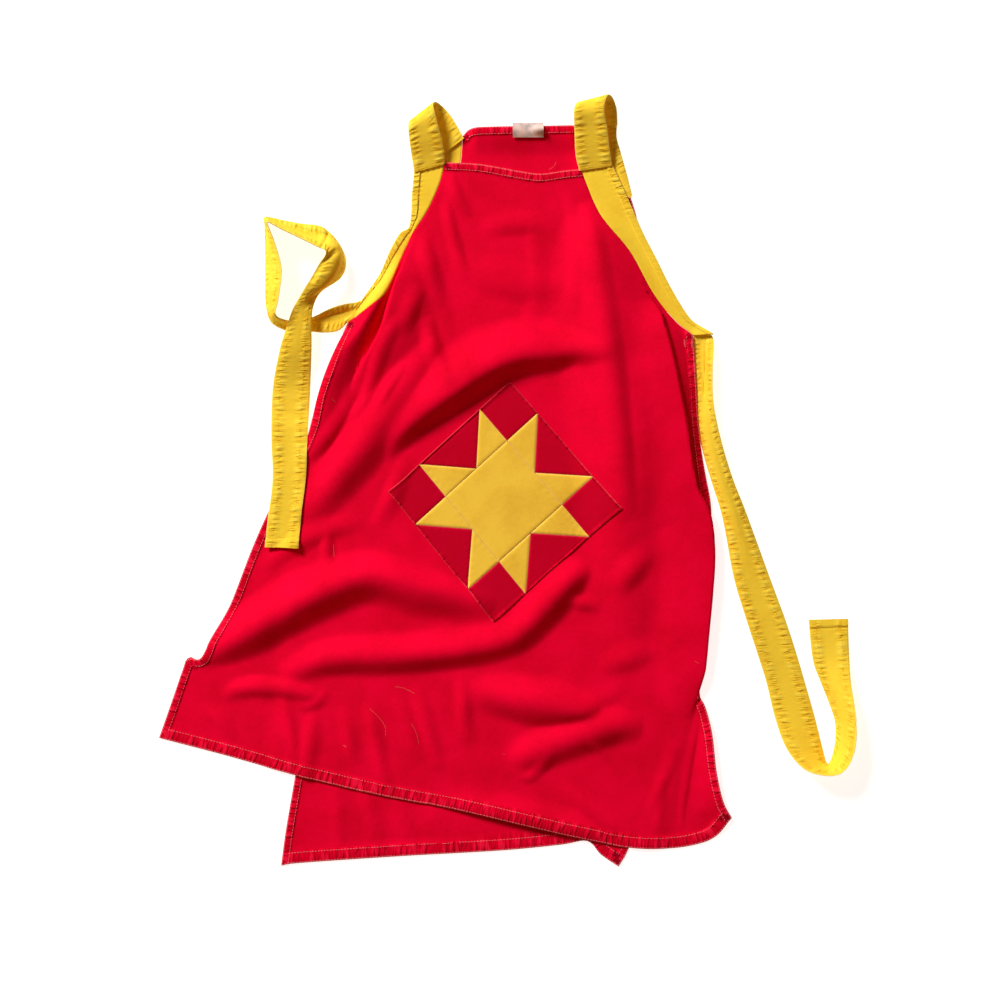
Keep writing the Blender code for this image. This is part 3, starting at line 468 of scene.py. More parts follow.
# Pucker streaks: stretch across, places of valleys and crests, and the share of painted shade in the valleys
STREAK_STRETCH, VALLEY_PLACE, CREST_PLACE, PAINTED_VALLEY_SHADE = 5, 0.42, 0.54, 0.8
DYE_SHARE, GRAIN_SHARE, YARN_SHARE, DEEPEST = 1.3, 0.5, 0.3, 0.7
RUB_GRAIN, RUB_YARN, RUB_START = 1.6, 0.9, 0.2
MOTTLE_PLACE, MOTTLE_SHARP, THREAD_SHADE = 0.42, 3.0, 0.7

# Places of a Mix node's colour sockets
MIX_SHARE, MIX_FIRST, MIX_SECOND, MIX_RESULT = 0, 6, 7, 2

# Roughness, gloss and sheen of the cloth, the thread and the label
CLOTH_FINISH, THREAD_FINISH, LABEL_FINISH = (0.8, 0.03, 0.04), (0.6, 0.2, 0.1), (0.6, 0.3, 0.1)
ROUGH_MEAN, ROUGH_GRAIN, SHEEN_ROUGHNESS = 0.78, 0.2, 0.5

# Studio, in metres
FLOOR_SIZE, FLOOR_HEIGHT, FLOOR_GLOW, FLOOR_ROUGH, FLOOR_GLOSS = 30, -0.0004, 1.4, 0.9, 0.1
SHADE_LIGHT, SHADE_STRENGTH = (1.0, 0.62, 0.28, 1), 0.2
WINDOW_PLACE, WINDOW_SIZE, WINDOW_POWER = (-3.6, 4.3, 3.7), 1.8, 575
LENS, SENSOR = 50, 36

# Cut sizes of the cloth that shows, width and length in metres, and the side of the block
CUT_SIZES = {
    "front_panel": (0.62, 0.73), "back_panel": (0.36, 0.79),
    "front_crescent_left": (0.040, 0.215), "front_crescent_right": (0.040, 0.235),
    "back_crescent_left": (0.036, 0.095), "back_crescent_right": (0.036, 0.095),
    "strap_left": (0.036, 0.12), "strap_right": (0.036, 0.12),
    "tie_left": (0.037, 0.62), "tie_right": (0.037, 0.67), "label": (0.032, 0.017),
}
BLOCK_SIDE = 0.165
LEAST_AREA = 0.31


def smooth_path(rows, shares):
    """Points at the given shares of the length of a smooth curve through the rows, any number of columns."""
    rows = np.array(rows, float)
    ends = np.vstack([2 * rows[0] - rows[1], rows, 2 * rows[-1] - rows[-2]])
    dense = [rows[0]]
    steps = np.linspace(0, 1, CURVE_PARTS + 1)[1:, None]
    for before, start, end, after in zip(ends, ends[1:], ends[2:], ends[3:]):
        slope_in, slope_out = (end - before) / 2, (after - start) / 2
        cubic = 2 * (start - end) + slope_in + slope_out
        square = 3 * (end - start) - 2 * slope_in - slope_out
        dense.extend(((cubic * steps + square) * steps + slope_in) * steps + start)
    dense = np.array(dense)
    lengths = np.concatenate([[0], np.cumsum(np.linalg.norm(np.diff(dense[:, :2], axis=0), axis=1))])
    wanted = np.asarray(shares) * lengths[-1]
    return at_places(dense, lengths, wanted)


def at_places(values, places, wanted):
    """Rows of values between those given, at the wanted places."""
    return np.column_stack([np.interp(wanted, places, column) for column in values.T])


def path_length(rows):
    points = smooth_path(rows, np.linspace(0, 1, LENGTH_POINTS))[:, :2]
    return np.linalg.norm(np.diff(points, axis=0), axis=1).sum()


def smooth_step(values):
    held = np.clip(values, 0, 1)
    return held * held * (3 - 2 * held)


def hill(shares):
    """1 at the middle, falling smoothly to 0 at a share of 1."""
    return (1 + np.cos(np.pi * np.clip(shares, 0, 1))) / 2


def bell(distance, width):
    """1 at no distance, falling smoothly and never quite reaching 0."""
    return np.exp(-((distance / width) ** 2))


def edge_drop(distance):
    """How far cloth rounds off downward at a distance from its edge."""
    return EDGE_DROP * np.clip(1 - distance / EDGE_ROUND, 0, 1) ** 2


def unit(vectors):
    return vectors / np.linalg.norm(vectors, axis=-1, keepdims=True)


def hem_lines(hem):
    """Distances of the close lines that round a hemmed edge and mark where its fold ends."""
    return np.array([0, EDGE_LINE, EDGE_ROUND, hem / 2, hem - FOLD_STEP, hem, hem + FOLD_STEP])


def shares_with_hem(count, length, hem_low, hem_high, crowd=0.0):
    """Shares of a length, with close lines over the hem at either end, and crowded towards the ends."""
    low = hem_lines(hem_low) if hem_low else np.zeros(1)
    high = length - hem_lines(hem_high)[::-1] if hem_high else np.array([length])
    even = np.linspace(0, 1, count + 1)[1:-1]
    inner = low[-1] + (even - crowd * np.sin(math.tau * even) / math.tau) * (high[0] - low[-1])
    return np.concatenate([low, inner, high]) / length


def nearest_on_line(points, line):
    """For each point: distance to a polyline, which side it is on (+1 left), and its place in rows."""
    best = np.full(len(points), np.inf)
    side = np.ones(len(points))
    place = np.zeros(len(points))
    for index, (start, end) in enumerate(zip(line[:, :2], line[1:, :2])):
        along = end - start
        share = np.clip((points - start) @ along / (along @ along), 0, 1)
        away = points - (start + share[:, None] * along)
        distance = np.linalg.norm(away, axis=1)
        closer = distance < best
        best[closer] = distance[closer]
        turn = along[0] * away[:, 1] - along[1] * away[:, 0]
        side[closer] = np.where(turn[closer] >= 0, 1, -1)
        place[closer] = index + share[closer]
    return best, side, place


def back_outline():
    """The back panel with its crescents, as one closed outline."""
    left = BACK_LEFT_SIDE + BACK_LEFT_ARM[1:]
    right = BACK_RIGHT_SIDE + BACK_RIGHT_ARM[1:]
    return np.array(BACK_HEM + right[1:] + left[::-1], float)


def distance_outside(points, outline):
    """Distance of each point outside a closed outline, 0 inside."""
    distance, _, _ = nearest_on_line(points, outline)
    inside = np.zeros(len(points), bool)
    for (x0, y0), (x1, y1) in zip(outline, np.roll(outline, -1, axis=0)):
        crosses = (y0 > points[:, 1]) != (y1 > points[:, 1])
        if y0 != y1:
            reach = (x1 - x0) * (points[:, 1] - y0) / (y1 - y0) + x0
            inside ^= crosses & (points[:, 0] < reach)
    return np.where(inside, 0, distance)


def fold_lift(points, rows):
    """How far one fold lifts the cloth at each point."""
    lift = np.zeros(len(points))
    line = smooth_path(rows, np.linspace(0, 1, FOLD_POINTS * len(rows)))
    reach = line[:, 3:].max()
    above = points > line[:, :2].min(axis=0) - reach
    below = points < line[:, :2].max(axis=0) + reach
    near = (above & below).all(axis=1)
    if near.any():
        distance, side, place = nearest_on_line(points[near], line)
        steps = np.arange(len(line))
        left, right = np.interp(place, steps, line[:, 3]), np.interp(place, steps, line[:, 4])
        width = np.where(side > 0, left, right)
        lift[near] = np.interp(place, steps, line[:, 2]) * hill(distance / width)
    return lift


def fold_height(points):
    """How far the folds lift the front: a soft largest of the main folds, with the creases on it."""
    total = sum(fold_lift(points, rows) ** FOLD_BLEND for rows in FOLDS.values()) ** (1 / FOLD_BLEND)
    small = sum(fold_lift(points, rows) ** 2 for rows in CREASES.values()) ** 0.5
    return total + small


def roll_shift(points):
    """Sideways shift of the front where a roll leans over its own foot."""
    shift = np.zeros(points.shape)
    for name, (far, reach, hand) in LEANS.items():
        line = smooth_path(FOLDS[name], np.linspace(0, 1, ROLL_POINTS * len(FOLDS[name])))
        distance, side, place = nearest_on_line(points, line)
        steps = np.arange(len(line))
        steep = np.interp(place, steps, line[:, 3 if hand > 0 else 4])
        width = np.where(side == hand, steep, reach)
        share = np.clip(LEAN_RISE * np.interp(place, steps, line[:, 2]) / line[:, 2].max(), 0, 1)
        way = np.gradient(line[:, :2], axis=0)
        out = unit(np.column_stack([-way[:, 1], way[:, 0]]) * hand)
        direction = at_places(out, steps, place)
        shift += direction * (far * share * hill(distance / width))[:, None]
    return shift


def front_base(points):
    """Points of the front layer's underside over the plan: over the back, down to the floor, up at folds."""
    outside = distance_outside(points, back_outline())
    rest = LAYER * hill((outside - BACK_PLATEAU) / BACK_FALL)
    return np.column_stack([points + roll_shift(points), rest + fold_height(points) + back_lift(points)])


def back_lift(points):
    """How far the back's small creases lift it, and the front where it lies on them."""
    return sum(fold_lift(points, rows) for rows in BACK_CREASES.values())


def back_base(points):
    """Points of the back layer's underside over the plan: flat, but for small creases and a sloping neck."""
    sides = smooth_step((points[:, 0] - NECK_RISE_LEFT) / NECK_RISE_SIDE)
    sides *= smooth_step((NECK_RISE_RIGHT - points[:, 0]) / NECK_RISE_SIDE)
    rise = NECK_RISE * smooth_step((points[:, 1] - NECK_RISE_START) / NECK_RISE_REACH)
    return np.column_stack([points, rise * sides + back_lift(points)])


def with_normals(points, base):
    """A layer's underside points over the plan, and its unit normals."""
    across = base(points + [SLOPE_STEP, 0]) - base(points - [SLOPE_STEP, 0])
    upward = base(points + [0, SLOPE_STEP]) - base(points - [0, SLOPE_STEP])
    return base(points), unit(np.cross(across, upward))


def raised(plan, height, base):
    """A plan grid lifted off a layer's underside by a height along its normals."""
    lower, normals = with_normals(plan.reshape(-1, 2), base)
    return (lower + normals * height.reshape(-1, 1)).reshape(plan.shape[:2] + (3,))


def ripple(along, phase):
    """An uneven row of puckers along a line of stitches, between -1 and 1."""
    drift = sum(share * np.sin(along / pitch + turn * phase) for share, pitch, turn in DRIFTS)
    slow = PUCKER_UNEVEN * np.sin(along / PUCKER_SLOW + PUCKER_SLOW_TURN * phase)
    strength = PUCKER_EVEN + slow * np.sin(along / PUCKER_QUICK + phase)
    return strength * np.sin(2 * np.pi * along / PUCKER_PITCH + drift)


def placed(points):
    return (np.asarray(points, float) - [ORIGIN_X, ORIGIN_Y, 0]) * MM


def add_sheet(name, upper, thickness, material, cloth, marks):
    """A sheet laid on a grid of upper points, thickened downward and closed, with its cloth lines."""
    rows, columns = upper.shape[:2]
    bpy.ops.object.select_all(action="DESELECT")
    bpy.ops.mesh.primitive_grid_add(x_subdivisions=columns - 1, y_subdivisions=rows - 1, size=1)
    sheet = bpy.context.object
    sheet.name = sheet.data.name = name
    mesh = sheet.data
    start = np.empty(len(mesh.vertices) * 3, np.float32)
    mesh.vertices.foreach_get("co", start)
    start = start.reshape(-1, 3)
    column = np.rint((start[:, 0] + 0.5) * (columns - 1)).astype(int)
    row = np.rint((start[:, 1] + 0.5) * (rows - 1)).astype(int)
    mesh.vertices.foreach_set("co", placed(upper)[row, column].ravel())
    corners = np.empty(len(mesh.loops), np.int32)
    mesh.loops.foreach_get("vertex_index", corners)
    mesh.uv_layers[0].name = "cloth"
    mesh.uv_layers[0].uv.foreach_set("vector", (cloth[row, column] * MM)[corners].ravel())
    for mark, values in marks.items():
        mesh.attributes.new(mark, "FLOAT", "POINT").data.foreach_set("value", values[row, column].ravel())
    most = thickness.max()
    weights = np.round(thickness[row, column] / most, 2)
    group = sheet.vertex_groups.new(name="thick")
    for weight in np.unique(weights):
        group.add([int(i) for i in np.nonzero(weights == weight)[0]], float(weight), "REPLACE")
    if np.allclose(upper[-1], upper[-1, 0], atol=SAME_PLACE):
        bpy.ops.object.mode_set(mode="EDIT")
        bpy.ops.mesh.select_all(action="SELECT")
        bpy.ops.mesh.remove_doubles(threshold=MERGE_REACH)
        bpy.ops.object.mode_set(mode="OBJECT")
    wall = sheet.modifiers.new("wall", "SOLIDIFY")
    wall.thickness = most * MM
    wall.offset = -1
    wall.vertex_group = "thick"
    wall.use_quality_normals = True
    bpy.ops.object.modifier_apply(modifier="wall")
    sheet.vertex_groups.clear()
    mesh.materials.append(material)
    bpy.ops.object.shade_smooth_by_angle(angle=math.radians(SHEET_SMOOTH_ANGLE))
    return sheet


def side_and_seam(side, seam, side_rows, seam_rows):
    """One path up a side and its armhole seam, with each row's share of its length."""
    side_length, seam_length = path_length(side), path_length(seam)
    whole = side_length + seam_length
    low = shares_with_hem(side_rows, side_length, BOTTOM_HEM, 0) * side_length / whole
    high = (side_length + shares_with_hem(seam_rows, seam_length, 0, NECK_HEM) * seam_length) / whole
    points = np.vstack([
        smooth_path(side, low * whole / side_length),
        smooth_path(seam, (high[1:] * whole - side_length) / seam_length),
    ])
    return points, np.concatenate([low, high[1:]])


def panel_plan(hem, neck, left, right, columns):
    """Plan grid of a panel: straight sections from side to side, bulged to the hem and the neck outlines."""
    left_points, shares = left
    grid = []
    for start, end in zip(left_points, right[0]):
        across = shares_with_hem(columns, np.linalg.norm(end - start), SIDE_HEM, SIDE_HEM, COLUMN_CROWD)
        grid.append(start + across[:, None] * (end - start))
    grid = np.array(grid)
    last = len(grid) - 1
    for edge, outline, reach in ((0, hem, HEM_CURVE_REACH), (last, neck, NECK_CURVE_REACH)):
        width = np.linalg.norm(grid[edge, -1] - grid[edge, 0])
        across = np.linalg.norm(grid[edge] - grid[edge, 0], axis=1) / width
        bulge = smooth_path(outline, across) - grid[edge]
        away = np.abs(shares - shares[edge]) / reach
        grid += hill(away)[:, None, None] * bulge[None]
    return grid


def edge_marks(plan, outlines):
    """Over a plan grid: distance to the nearest of some outlines, and length along it."""
    flat = plan.reshape(-1, 2)
    edge = np.full(len(flat), FAR)
    along = np.zeros(len(flat))
    for outline in outlines:
        line = smooth_path(outline, np.linspace(0, 1, OUTLINE_POINTS))
        distance, _, place = nearest_on_line(flat, line)
        closer = distance < edge
        edge[closer] = distance[closer]
        along[closer] = place[closer] * path_length(outline) / (OUTLINE_POINTS - 1)
    return edge.reshape(plan.shape[:2]), along.reshape(plan.shape[:2])


def in_sight(points, side):
    """0 where the front's right side is rolled under, 1 elsewhere."""
    if side is not FRONT_RIGHT_SIDE:
        return np.ones(len(points))
    below = smooth_step((points[:, 1] - ROLLED_LOW) / ROLLED_FADE)
    return 1 - below * smooth_step((ROLLED_HIGH - points[:, 1]) / ROLLED_FADE)


def add_panel(name, hems, seams, counts, base, material):
    """A front or back panel, hemmed all round but at its armhole seams."""
    columns, *rows = counts
    outlines = [outline for outline, _, _ in hems]
    hem, neck, *sides = outlines
    left, right = (side_and_seam(side, seam, *rows) for side, seam in zip(sides, seams))
    plan = panel_plan(hem, neck, left, right, columns)
    edge, along = edge_marks(plan, outlines + list(seams))
    worn = edge_marks(plan, outlines)[0]
    thick = np.full(plan.shape[:2], CLOTH)
    hemmed = np.zeros(plan.shape[:2])
    for outline, hem_width, _ in hems:
        distance = edge_marks(plan, [outline])[0]
        seen = in_sight(plan.reshape(-1, 2), outline).reshape(distance.shape)
        over = seen * smooth_step((hem_width - distance) / FOLD_STEP)
        hemmed = np.maximum(hemmed, over)
        thick = np.maximum(thick, CLOTH + HEM_EXTRA * over)
        groove = bell(distance - hem_width + FOLD_STITCH_INSET, GROOVE_WIDTH)
        thick = thick - seen * GROOVE_DEPTH * groove
    thick = thick - edge_drop(edge)
    # The hem mark places the painted shade and highlight of the pucker streaks and the painted shade line
    # along the hem's fold
    marks = {"edge": worn, "along": along, "hem": hemmed}
    return add_sheet(name, raised(plan, thick, base), thick, material, plan, marks)


def add_crescent(name, seam, arm, base, hand, material, phase, elsewhere):
    """An armhole piece from seam to hemmed edge, puckered near the strap and by a share elsewhere."""
    rows = int(path_length(seam) / CRESCENT_STEP)
    shares = np.linspace(0, 1, rows)
    outer = smooth_path(arm, shares)
    inner = smooth_path(seam, shares)
    inner += GAP * (outer - inner) / np.linalg.norm(outer - inner, axis=1)[:, None]
    wide = np.linalg.norm(outer - inner, axis=1)
    hem = np.minimum(ARM_HEM, wide * ARM_HEM_MOST)
    low = np.array([0, EDGE_LINE, EDGE_ROUND])
    distance = np.array([
        np.concatenate([
            np.minimum(low, w * ARM_EDGE_MOST),
            np.linspace(min(EDGE_ROUND + ARM_INNER_START, w * ARM_INNER_MOST), w - h, CRESCENT_COLUMNS),
            w - h * np.array(ARM_HEM_LINES),
        ]) for w, h in zip(wide, hem)
    ])
    share = distance / wide[:, None]
    plan = inner[:, None] + share[:, :, None] * (outer - inner)[:, None]
    away = (1 - share) * wide[:, None]
    along = np.repeat((shares * path_length(seam))[:, None], share.shape[1], axis=1)
    ends = np.minimum(along, along.max() - along)
    thick = CLOTH + HEM_EXTRA * smooth_step((hem[:, None] - away) / FOLD_STEP)
    thick -= edge_drop(np.minimum(away, distance))
    stitched = away - hem[:, None] + ARM_STITCH_INSET
    thick -= RIBBON_GROOVE * bell(stitched, GROOVE_WIDTH)
    from_strap = along.max() - along
    gathered = elsewhere + (1 - elsewhere) * smooth_step((GATHER_REACH - from_strap) / GATHER_FADE)
    band, inside = bell(stitched, ARM_PUCKER_WIDTH), smooth_step(ends / ARM_END_FADE)
    thick += ARM_PUCKER * ripple(along, phase) * band * inside * gathered
    gather = STRAP_GATHER * ripple(distance, phase + STRAP_GATHER_PHASE)
    gather *= smooth_step((STRAP_GATHER_REACH - from_strap) / STRAP_GATHER_FADE)
    thick += gather * hill(from_strap / STRAP_GATHER_REACH)
    upper = raised(plan, thick, base)
    # The hem mark places the painted shade and highlight of the pucker streaks, less away from the strap
    hemmed = smooth_step((hem[:, None] - away) / FOLD_STEP) * gathered
    marks = {"edge": np.minimum(away, EDGE_MARK_MOST), "along": along, "hem": hemmed}
    if hand < 0:
        upper, thick, plan = upper[:, ::-1], thick[:, ::-1], plan[:, ::-1]
        marks = {mark: values[:, ::-1] for mark, values in marks.items()}
    made = add_sheet(name, upper, np.maximum(thick, THINNEST), material, plan, marks)
    return made, upper, away if hand > 0 else away[:, ::-1], hem


def below_view(points):
    """Points seen from the view point at their own height, given where they seem to lie on the floor."""
    view = np.array([VIEW_X, VIEW_Y])
    shrink = 1 - points[:, 2:] / VIEW_HEIGHT
    return np.hstack([view + (points[:, :2] - view) * shrink, points[:, 2:]])


def ribbon_sections(rows):
    """Sections of a ribbon at close, even steps: right edge, left edge, arch, and the length so far."""
    length = path_length([((a[0] + a[3]) / 2, (a[1] + a[4]) / 2) for a in rows])
    shares = np.linspace(0, 1, int(length / RIBBON_STEP))
    table = np.array(rows, float)
    table[:, :3] = below_view(table[:, :3])
    table[:, 3:6] = below_view(table[:, 3:6])
    middle = (table[:, :2] + table[:, 3:5]) / 2
    sections = smooth_path(np.hstack([middle, table]), shares)[:, 2:]
    return sections[:, :3], sections[:, 3:6], sections[:, 6], shares * length


def relax(values, passes):
    """A row of points smoothed along its length, its ends kept."""
    for _ in range(passes):
        values[1:-1] = (values[:-2] + 2 * values[1:-1] + values[2:]) / 4
    return values


def crease_drop(grid, share, creases):
    """How far the folded-in lines of a ribbon sink below its face."""
    drop = np.zeros(grid.shape[:2])
    for low, high, depth, width, *line in creases:
        distance, _, place = nearest_on_line(grid.reshape(-1, 3)[:, :2], np.array(line, float))
        from_end = np.minimum(place, len(line) - 1 - place)
        fade = smooth_step(from_end * CREASE_FADE + CREASE_START).reshape(drop.shape)
        inside = ((share >= low) & (share <= high))[:, None]
        drop += depth * fade * inside * bell(distance.reshape(drop.shape), width)
    return drop


def add_ribbon(name, rows, inset, pucker, material, phase, end_hem, over_front_y, creases):
    """A strap or tie with a stitch row near each edge and puckers across them."""
    right, left, arch, along = ribbon_sections(rows)
    right, left = relax(right, RIBBON_RELAX), relax(left, RIBBON_RELAX)
    way = np.gradient((right + left) / 2, axis=0)
    lift = -unit(np.cross(left - right, way))
    wide = np.linalg.norm(left - right, axis=1)
    full = wide.max()
    even = np.linspace(0, 1, RIBBON_COLUMNS)
    across = ((1 - np.cos(np.linspace(0, np.pi, RIBBON_COLUMNS))) / 2 + even) / 2
    grid = right[:, None] + across[None, :, None] * (left - right)[:, None]
    bend = np.minimum(across / BEND_PLACE, (1 - across) / (1 - BEND_PLACE))
    bend = bend - BEND_ROUND * hill(np.abs(across - BEND_PLACE) / BEND_ROUND)
    grid += bend[None, :, None] * (arch[:, None] * lift)[:, None]
    grid[:, :, 2] += CLOTH / 2
    if over_front_y is not None:
        flat = grid.reshape(-1, 3)
        rest = front_base(flat[:, :2])[:, 2] + CLOTH + HEM_EXTRA + CLOTH / 2 + 2 * GAP
        climb = np.clip((over_front_y - flat[:, 1]) / TIE_CLIMB, 0, 1)
        climb[np.repeat(along < TIE_LAST_STRETCH * along[-1], grid.shape[1])] = 0
        flat[:, 2] = np.maximum(flat[:, 2], rest * climb)
        grid = flat.reshape(grid.shape)
    sunk = grid[:, :, 2] - crease_drop(grid, along / along[-1], creases)
    grid[:, :, 2] = np.maximum(sunk, np.minimum(grid[:, :, 2], CLOTH))
    normals = unit(np.cross(np.gradient(grid, axis=0), np.gradient(grid, axis=1)))
    cloth = np.dstack(np.broadcast_arrays(across[None, :] * full, along[:, None]))
    edge = np.minimum(across, 1 - across)[None, :] * full + 0 * along[:, None]
    ends = np.minimum(along, along[-1] - along)[:, None]
    stitched = edge - inset
    band = bell(stitched, RIBBON_PUCKER_WIDTH) * smooth_step(ends / RIBBON_END_FADE)
    hand = np.where(across < 0.5, 0.0, FAR_EDGE_PHASE)[None, :]
    bump = pucker * ripple(along[:, None] + hand * 2, phase + hand) * band
    bump -= RIBBON_GROOVE * bell(stitched, GROOVE_WIDTH)
    if end_hem:
        from_end = (along[-1] - along)[:, None] + 0 * edge
        bump += HEM_EXTRA * smooth_step((end_hem - from_end) / FOLD_STEP)
        bump -= END_GROOVE * bell(from_end - end_hem, END_GROOVE_WIDTH)
    thick = CLOTH + np.maximum(bump, -THINNEST) - edge_drop(edge)
    upper = grid + normals * (thick - CLOTH / 2)[:, :, None]
    floor = min(upper[:, :, 2].min(), (upper - normals * thick[:, :, None])[:, :, 2].min())
    if floor < 0:
        upper[:, :, 2] -= floor
    # The hem mark places the painted shade and highlight of the pucker streaks along the stitch rows
    marks = {"edge": edge, "along": along[:, None] + 0 * edge, "hem": band}
    marks = {mark: values[:, ::-1] for mark, values in marks.items()}
    made = add_sheet(name, upper[:, ::-1], thick[:, ::-1], material, cloth[:, ::-1], marks)
    return made, upper, edge, along


def on_grid(upper, rows, columns):
    """Points and normals of a grid of upper points at fractional rows and columns."""
    def at(values, rows, columns):
        row = np.clip(np.floor(rows).astype(int), 0, values.shape[0] - 2)
        column = np.clip(np.floor(columns).astype(int), 0, values.shape[1] - 2)
        down, right = (rows - row)[:, None], (columns - column)[:, None]
        low = values[row, column] * (1 - right) + values[row, column + 1] * right
        high = values[row + 1, column] * (1 - right) + values[row + 1, column + 1] * right
        return low * (1 - down) + high * down
    normals = np.cross(np.gradient(upper, axis=1), np.gradient(upper, axis=0))
    normals /= np.linalg.norm(normals, axis=2)[:, :, None] + NO_SLOPE
    return at(upper, rows, columns), at(normals, rows, columns)


def zero_line(marks, from_right=False):
    """Fractional rows and columns where a mark first crosses zero in each row of a grid."""
    rows, columns = [], []
    last = marks.shape[1] - 1
    for row, line in enumerate(marks[:, ::-1] if from_right else marks):
        crossing = np.nonzero(line[:-1] * line[1:] <= 0)[0]
        if len(crossing):
            first = crossing[0]
            column = first + line[first] / (line[first] - line[first + 1] + NO_SLOPE)
            rows.append(row)
            columns.append(last - column if from_right else column)
    return np.array(rows, float), np.array(columns)


def inset_line(outline, inset, hand, base, lift):
    """Points and normals on a layer's upper face beside an outline; hand +1 sets them in to its left."""
    line = smooth_path(outline, np.linspace(0, 1, int(path_length(outline) / INSET_SPACING)))[:, :2]
    way = np.gradient(line, axis=0)
    inward = np.column_stack([-way[:, 1], way[:, 0]]) * hand
    moved = line + inset * inward / np.linalg.norm(inward, axis=1)[:, None]
    kept = nearest_on_line(moved, line)[0] > inset * INSET_KEPT
    low, normals = with_normals(moved[kept], base)
    return low + normals * (CLOTH + lift), normals


def even_spots(points, normals):
    """Spots a stitch's pitch apart along a line of points, with the way on and the normal at each."""
    steps = np.linalg.norm(np.diff(points, axis=0), axis=1)
    lengths = np.concatenate([[0], np.cumsum(steps)])
    wanted = np.arange(STITCH_PITCH / 2, lengths[-1], STITCH_PITCH)
    ahead = at_places(points, lengths, wanted + STITCH_REACH)
    behind = at_places(points, lengths, wanted - STITCH_REACH)
    return at_places(points, lengths, wanted), ahead - behind, at_places(normals, lengths, wanted)


def stitch_shape():
    """One stitch as a small pointed bead, modelled once and copied."""
    bpy.ops.object.select_all(action="DESELECT")
    bpy.ops.mesh.primitive_uv_sphere_add(
        segments=STITCH_SEGMENTS, ring_count=STITCH_RINGS, radius=1, rotation=(0, math.pi / 2, 0),
    )
    bead = bpy.context.object
    bpy.ops.object.transform_apply(location=False, rotation=True, scale=False)
    points = np.array([vertex.co[:] for vertex in bead.data.vertices])
    faces = [list(face.vertices) for face in bead.data.polygons]
    bpy.data.objects.remove(bead)
    return points * [STITCH_LENGTH / 2, STITCH_WIDTH / 2, STITCH_HEIGHT / 2], faces


def add_mesh(name, points, faces, material):
    mesh = bpy.data.meshes.new(name)
    mesh.from_pydata([tuple(point) for point in placed(points)], [], faces)
    mesh.materials.append(material)
    made = bpy.data.objects.new(name, mesh)
    bpy.context.scene.collection.objects.link(made)
    bpy.ops.object.select_all(action="DESELECT")
    made.select_set(True)
    bpy.context.view_layer.objects.active = made
    bpy.ops.object.shade_smooth_by_angle(angle=math.radians(THREAD_SMOOTH_ANGLE))
    return made


def add_stitches(name, lines, material):
    """Rows of stitches along lines, each a pair of points and normals, as one piece."""
    shape, faces = stitch_shape()
    points, all_faces = [], []
    for line, normals in lines:
        for spot, way, up in zip(*even_spots(line, normals)):
            way = way / (np.linalg.norm(way) + NO_LENGTH)
            side = np.cross(up, way)
            side /= np.linalg.norm(side) + NO_LENGTH
            lifted = spot + np.cross(way, side) * STITCH_RAISE
            start = len(points) * len(shape)
            points.append(lifted + shape @ np.array([way, side, np.cross(way, side)]))
            all_faces += [[start + index for index in face] for face in faces]
    return add_mesh(name, np.vstack(points), all_faces, material)


def add_threads(name, paths, radius, material):
    """Thin threads or hairs through the given points, as one piece of fine tubes."""
    points, faces = [], []
    for path in paths:
        path = np.asarray(path, float)
        way = np.gradient(path, axis=0)
        way /= np.linalg.norm(way, axis=1)[:, None] + NO_LENGTH
        side = unit(np.cross(way, THREAD_UP))
        up = np.cross(side, way)
        start = len(points)
        last = len(path) - 1
        for step, (spot, s, u) in enumerate(zip(path, side, up)):
            thin = radius * (THREAD_TIP if step in (0, last) else 1)
            for turn in range(THREAD_SIDES):
                angle = turn * math.tau / THREAD_SIDES
                points.append(spot + thin * (math.cos(angle) * s + math.sin(angle) * u))
        for step in range(last):
            ring = start + step * THREAD_SIDES
            for turn in range(THREAD_SIDES):
                a, b = ring + turn, ring + (turn + 1) % THREAD_SIDES
                faces.append([a, b, b + THREAD_SIDES, a + THREAD_SIDES])
        faces.append([start + turn for turn in reversed(range(THREAD_SIDES))])
        faces.append([start + last * THREAD_SIDES + turn for turn in range(THREAD_SIDES)])
    return add_mesh(name, points, faces, material)


def block_point(s, t):
    """A point of the block's square: s runs from its left corner to its top one, t to its bottom one."""
    left, top, right, bottom = (np.array(corner, float) for corner in BLOCK)
    s, t = np.asarray(s)[..., None], np.asarray(t)[..., None]
    return left * (1 - s) * (1 - t) + top * s * (1 - t) + right * s * t + bottom * (1 - s) * t


def quarter_turns(corner, turns):
    """A corner in quarters of the block's side, turned about the block's middle."""
    s, t = corner
    for _ in range(turns):
        s, t = QUARTERS - t, s
    return s, t


def star_patches():
    """Name, colour and corners in quarters of the block's side, for a sawtooth star."""
    patches = [("star_centre", "yellow", [(1, 1), (3, 1), (3, 3), (1, 3)])]
    for turn in range(4):
        number = turn + 1
        shapes = [
            (f"star_corner_{number}", "red", [(0, 0), (1, 0), (1, 1), (0, 1)]),
            (f"star_edge_{number}", "red", [(1, 0), (3, 0), (2, 1)]),
            (f"star_point_{2 * turn + 1}", "yellow", [(1, 0), (2, 1), (1, 1)]),
            (f"star_point_{2 * turn + 2}", "yellow", [(3, 0), (3, 1), (2, 1)]),
        ]
        for name, colour, corners in shapes:
            patches.append((name, colour, [quarter_turns(corner, turn) for corner in corners]))
    return patches


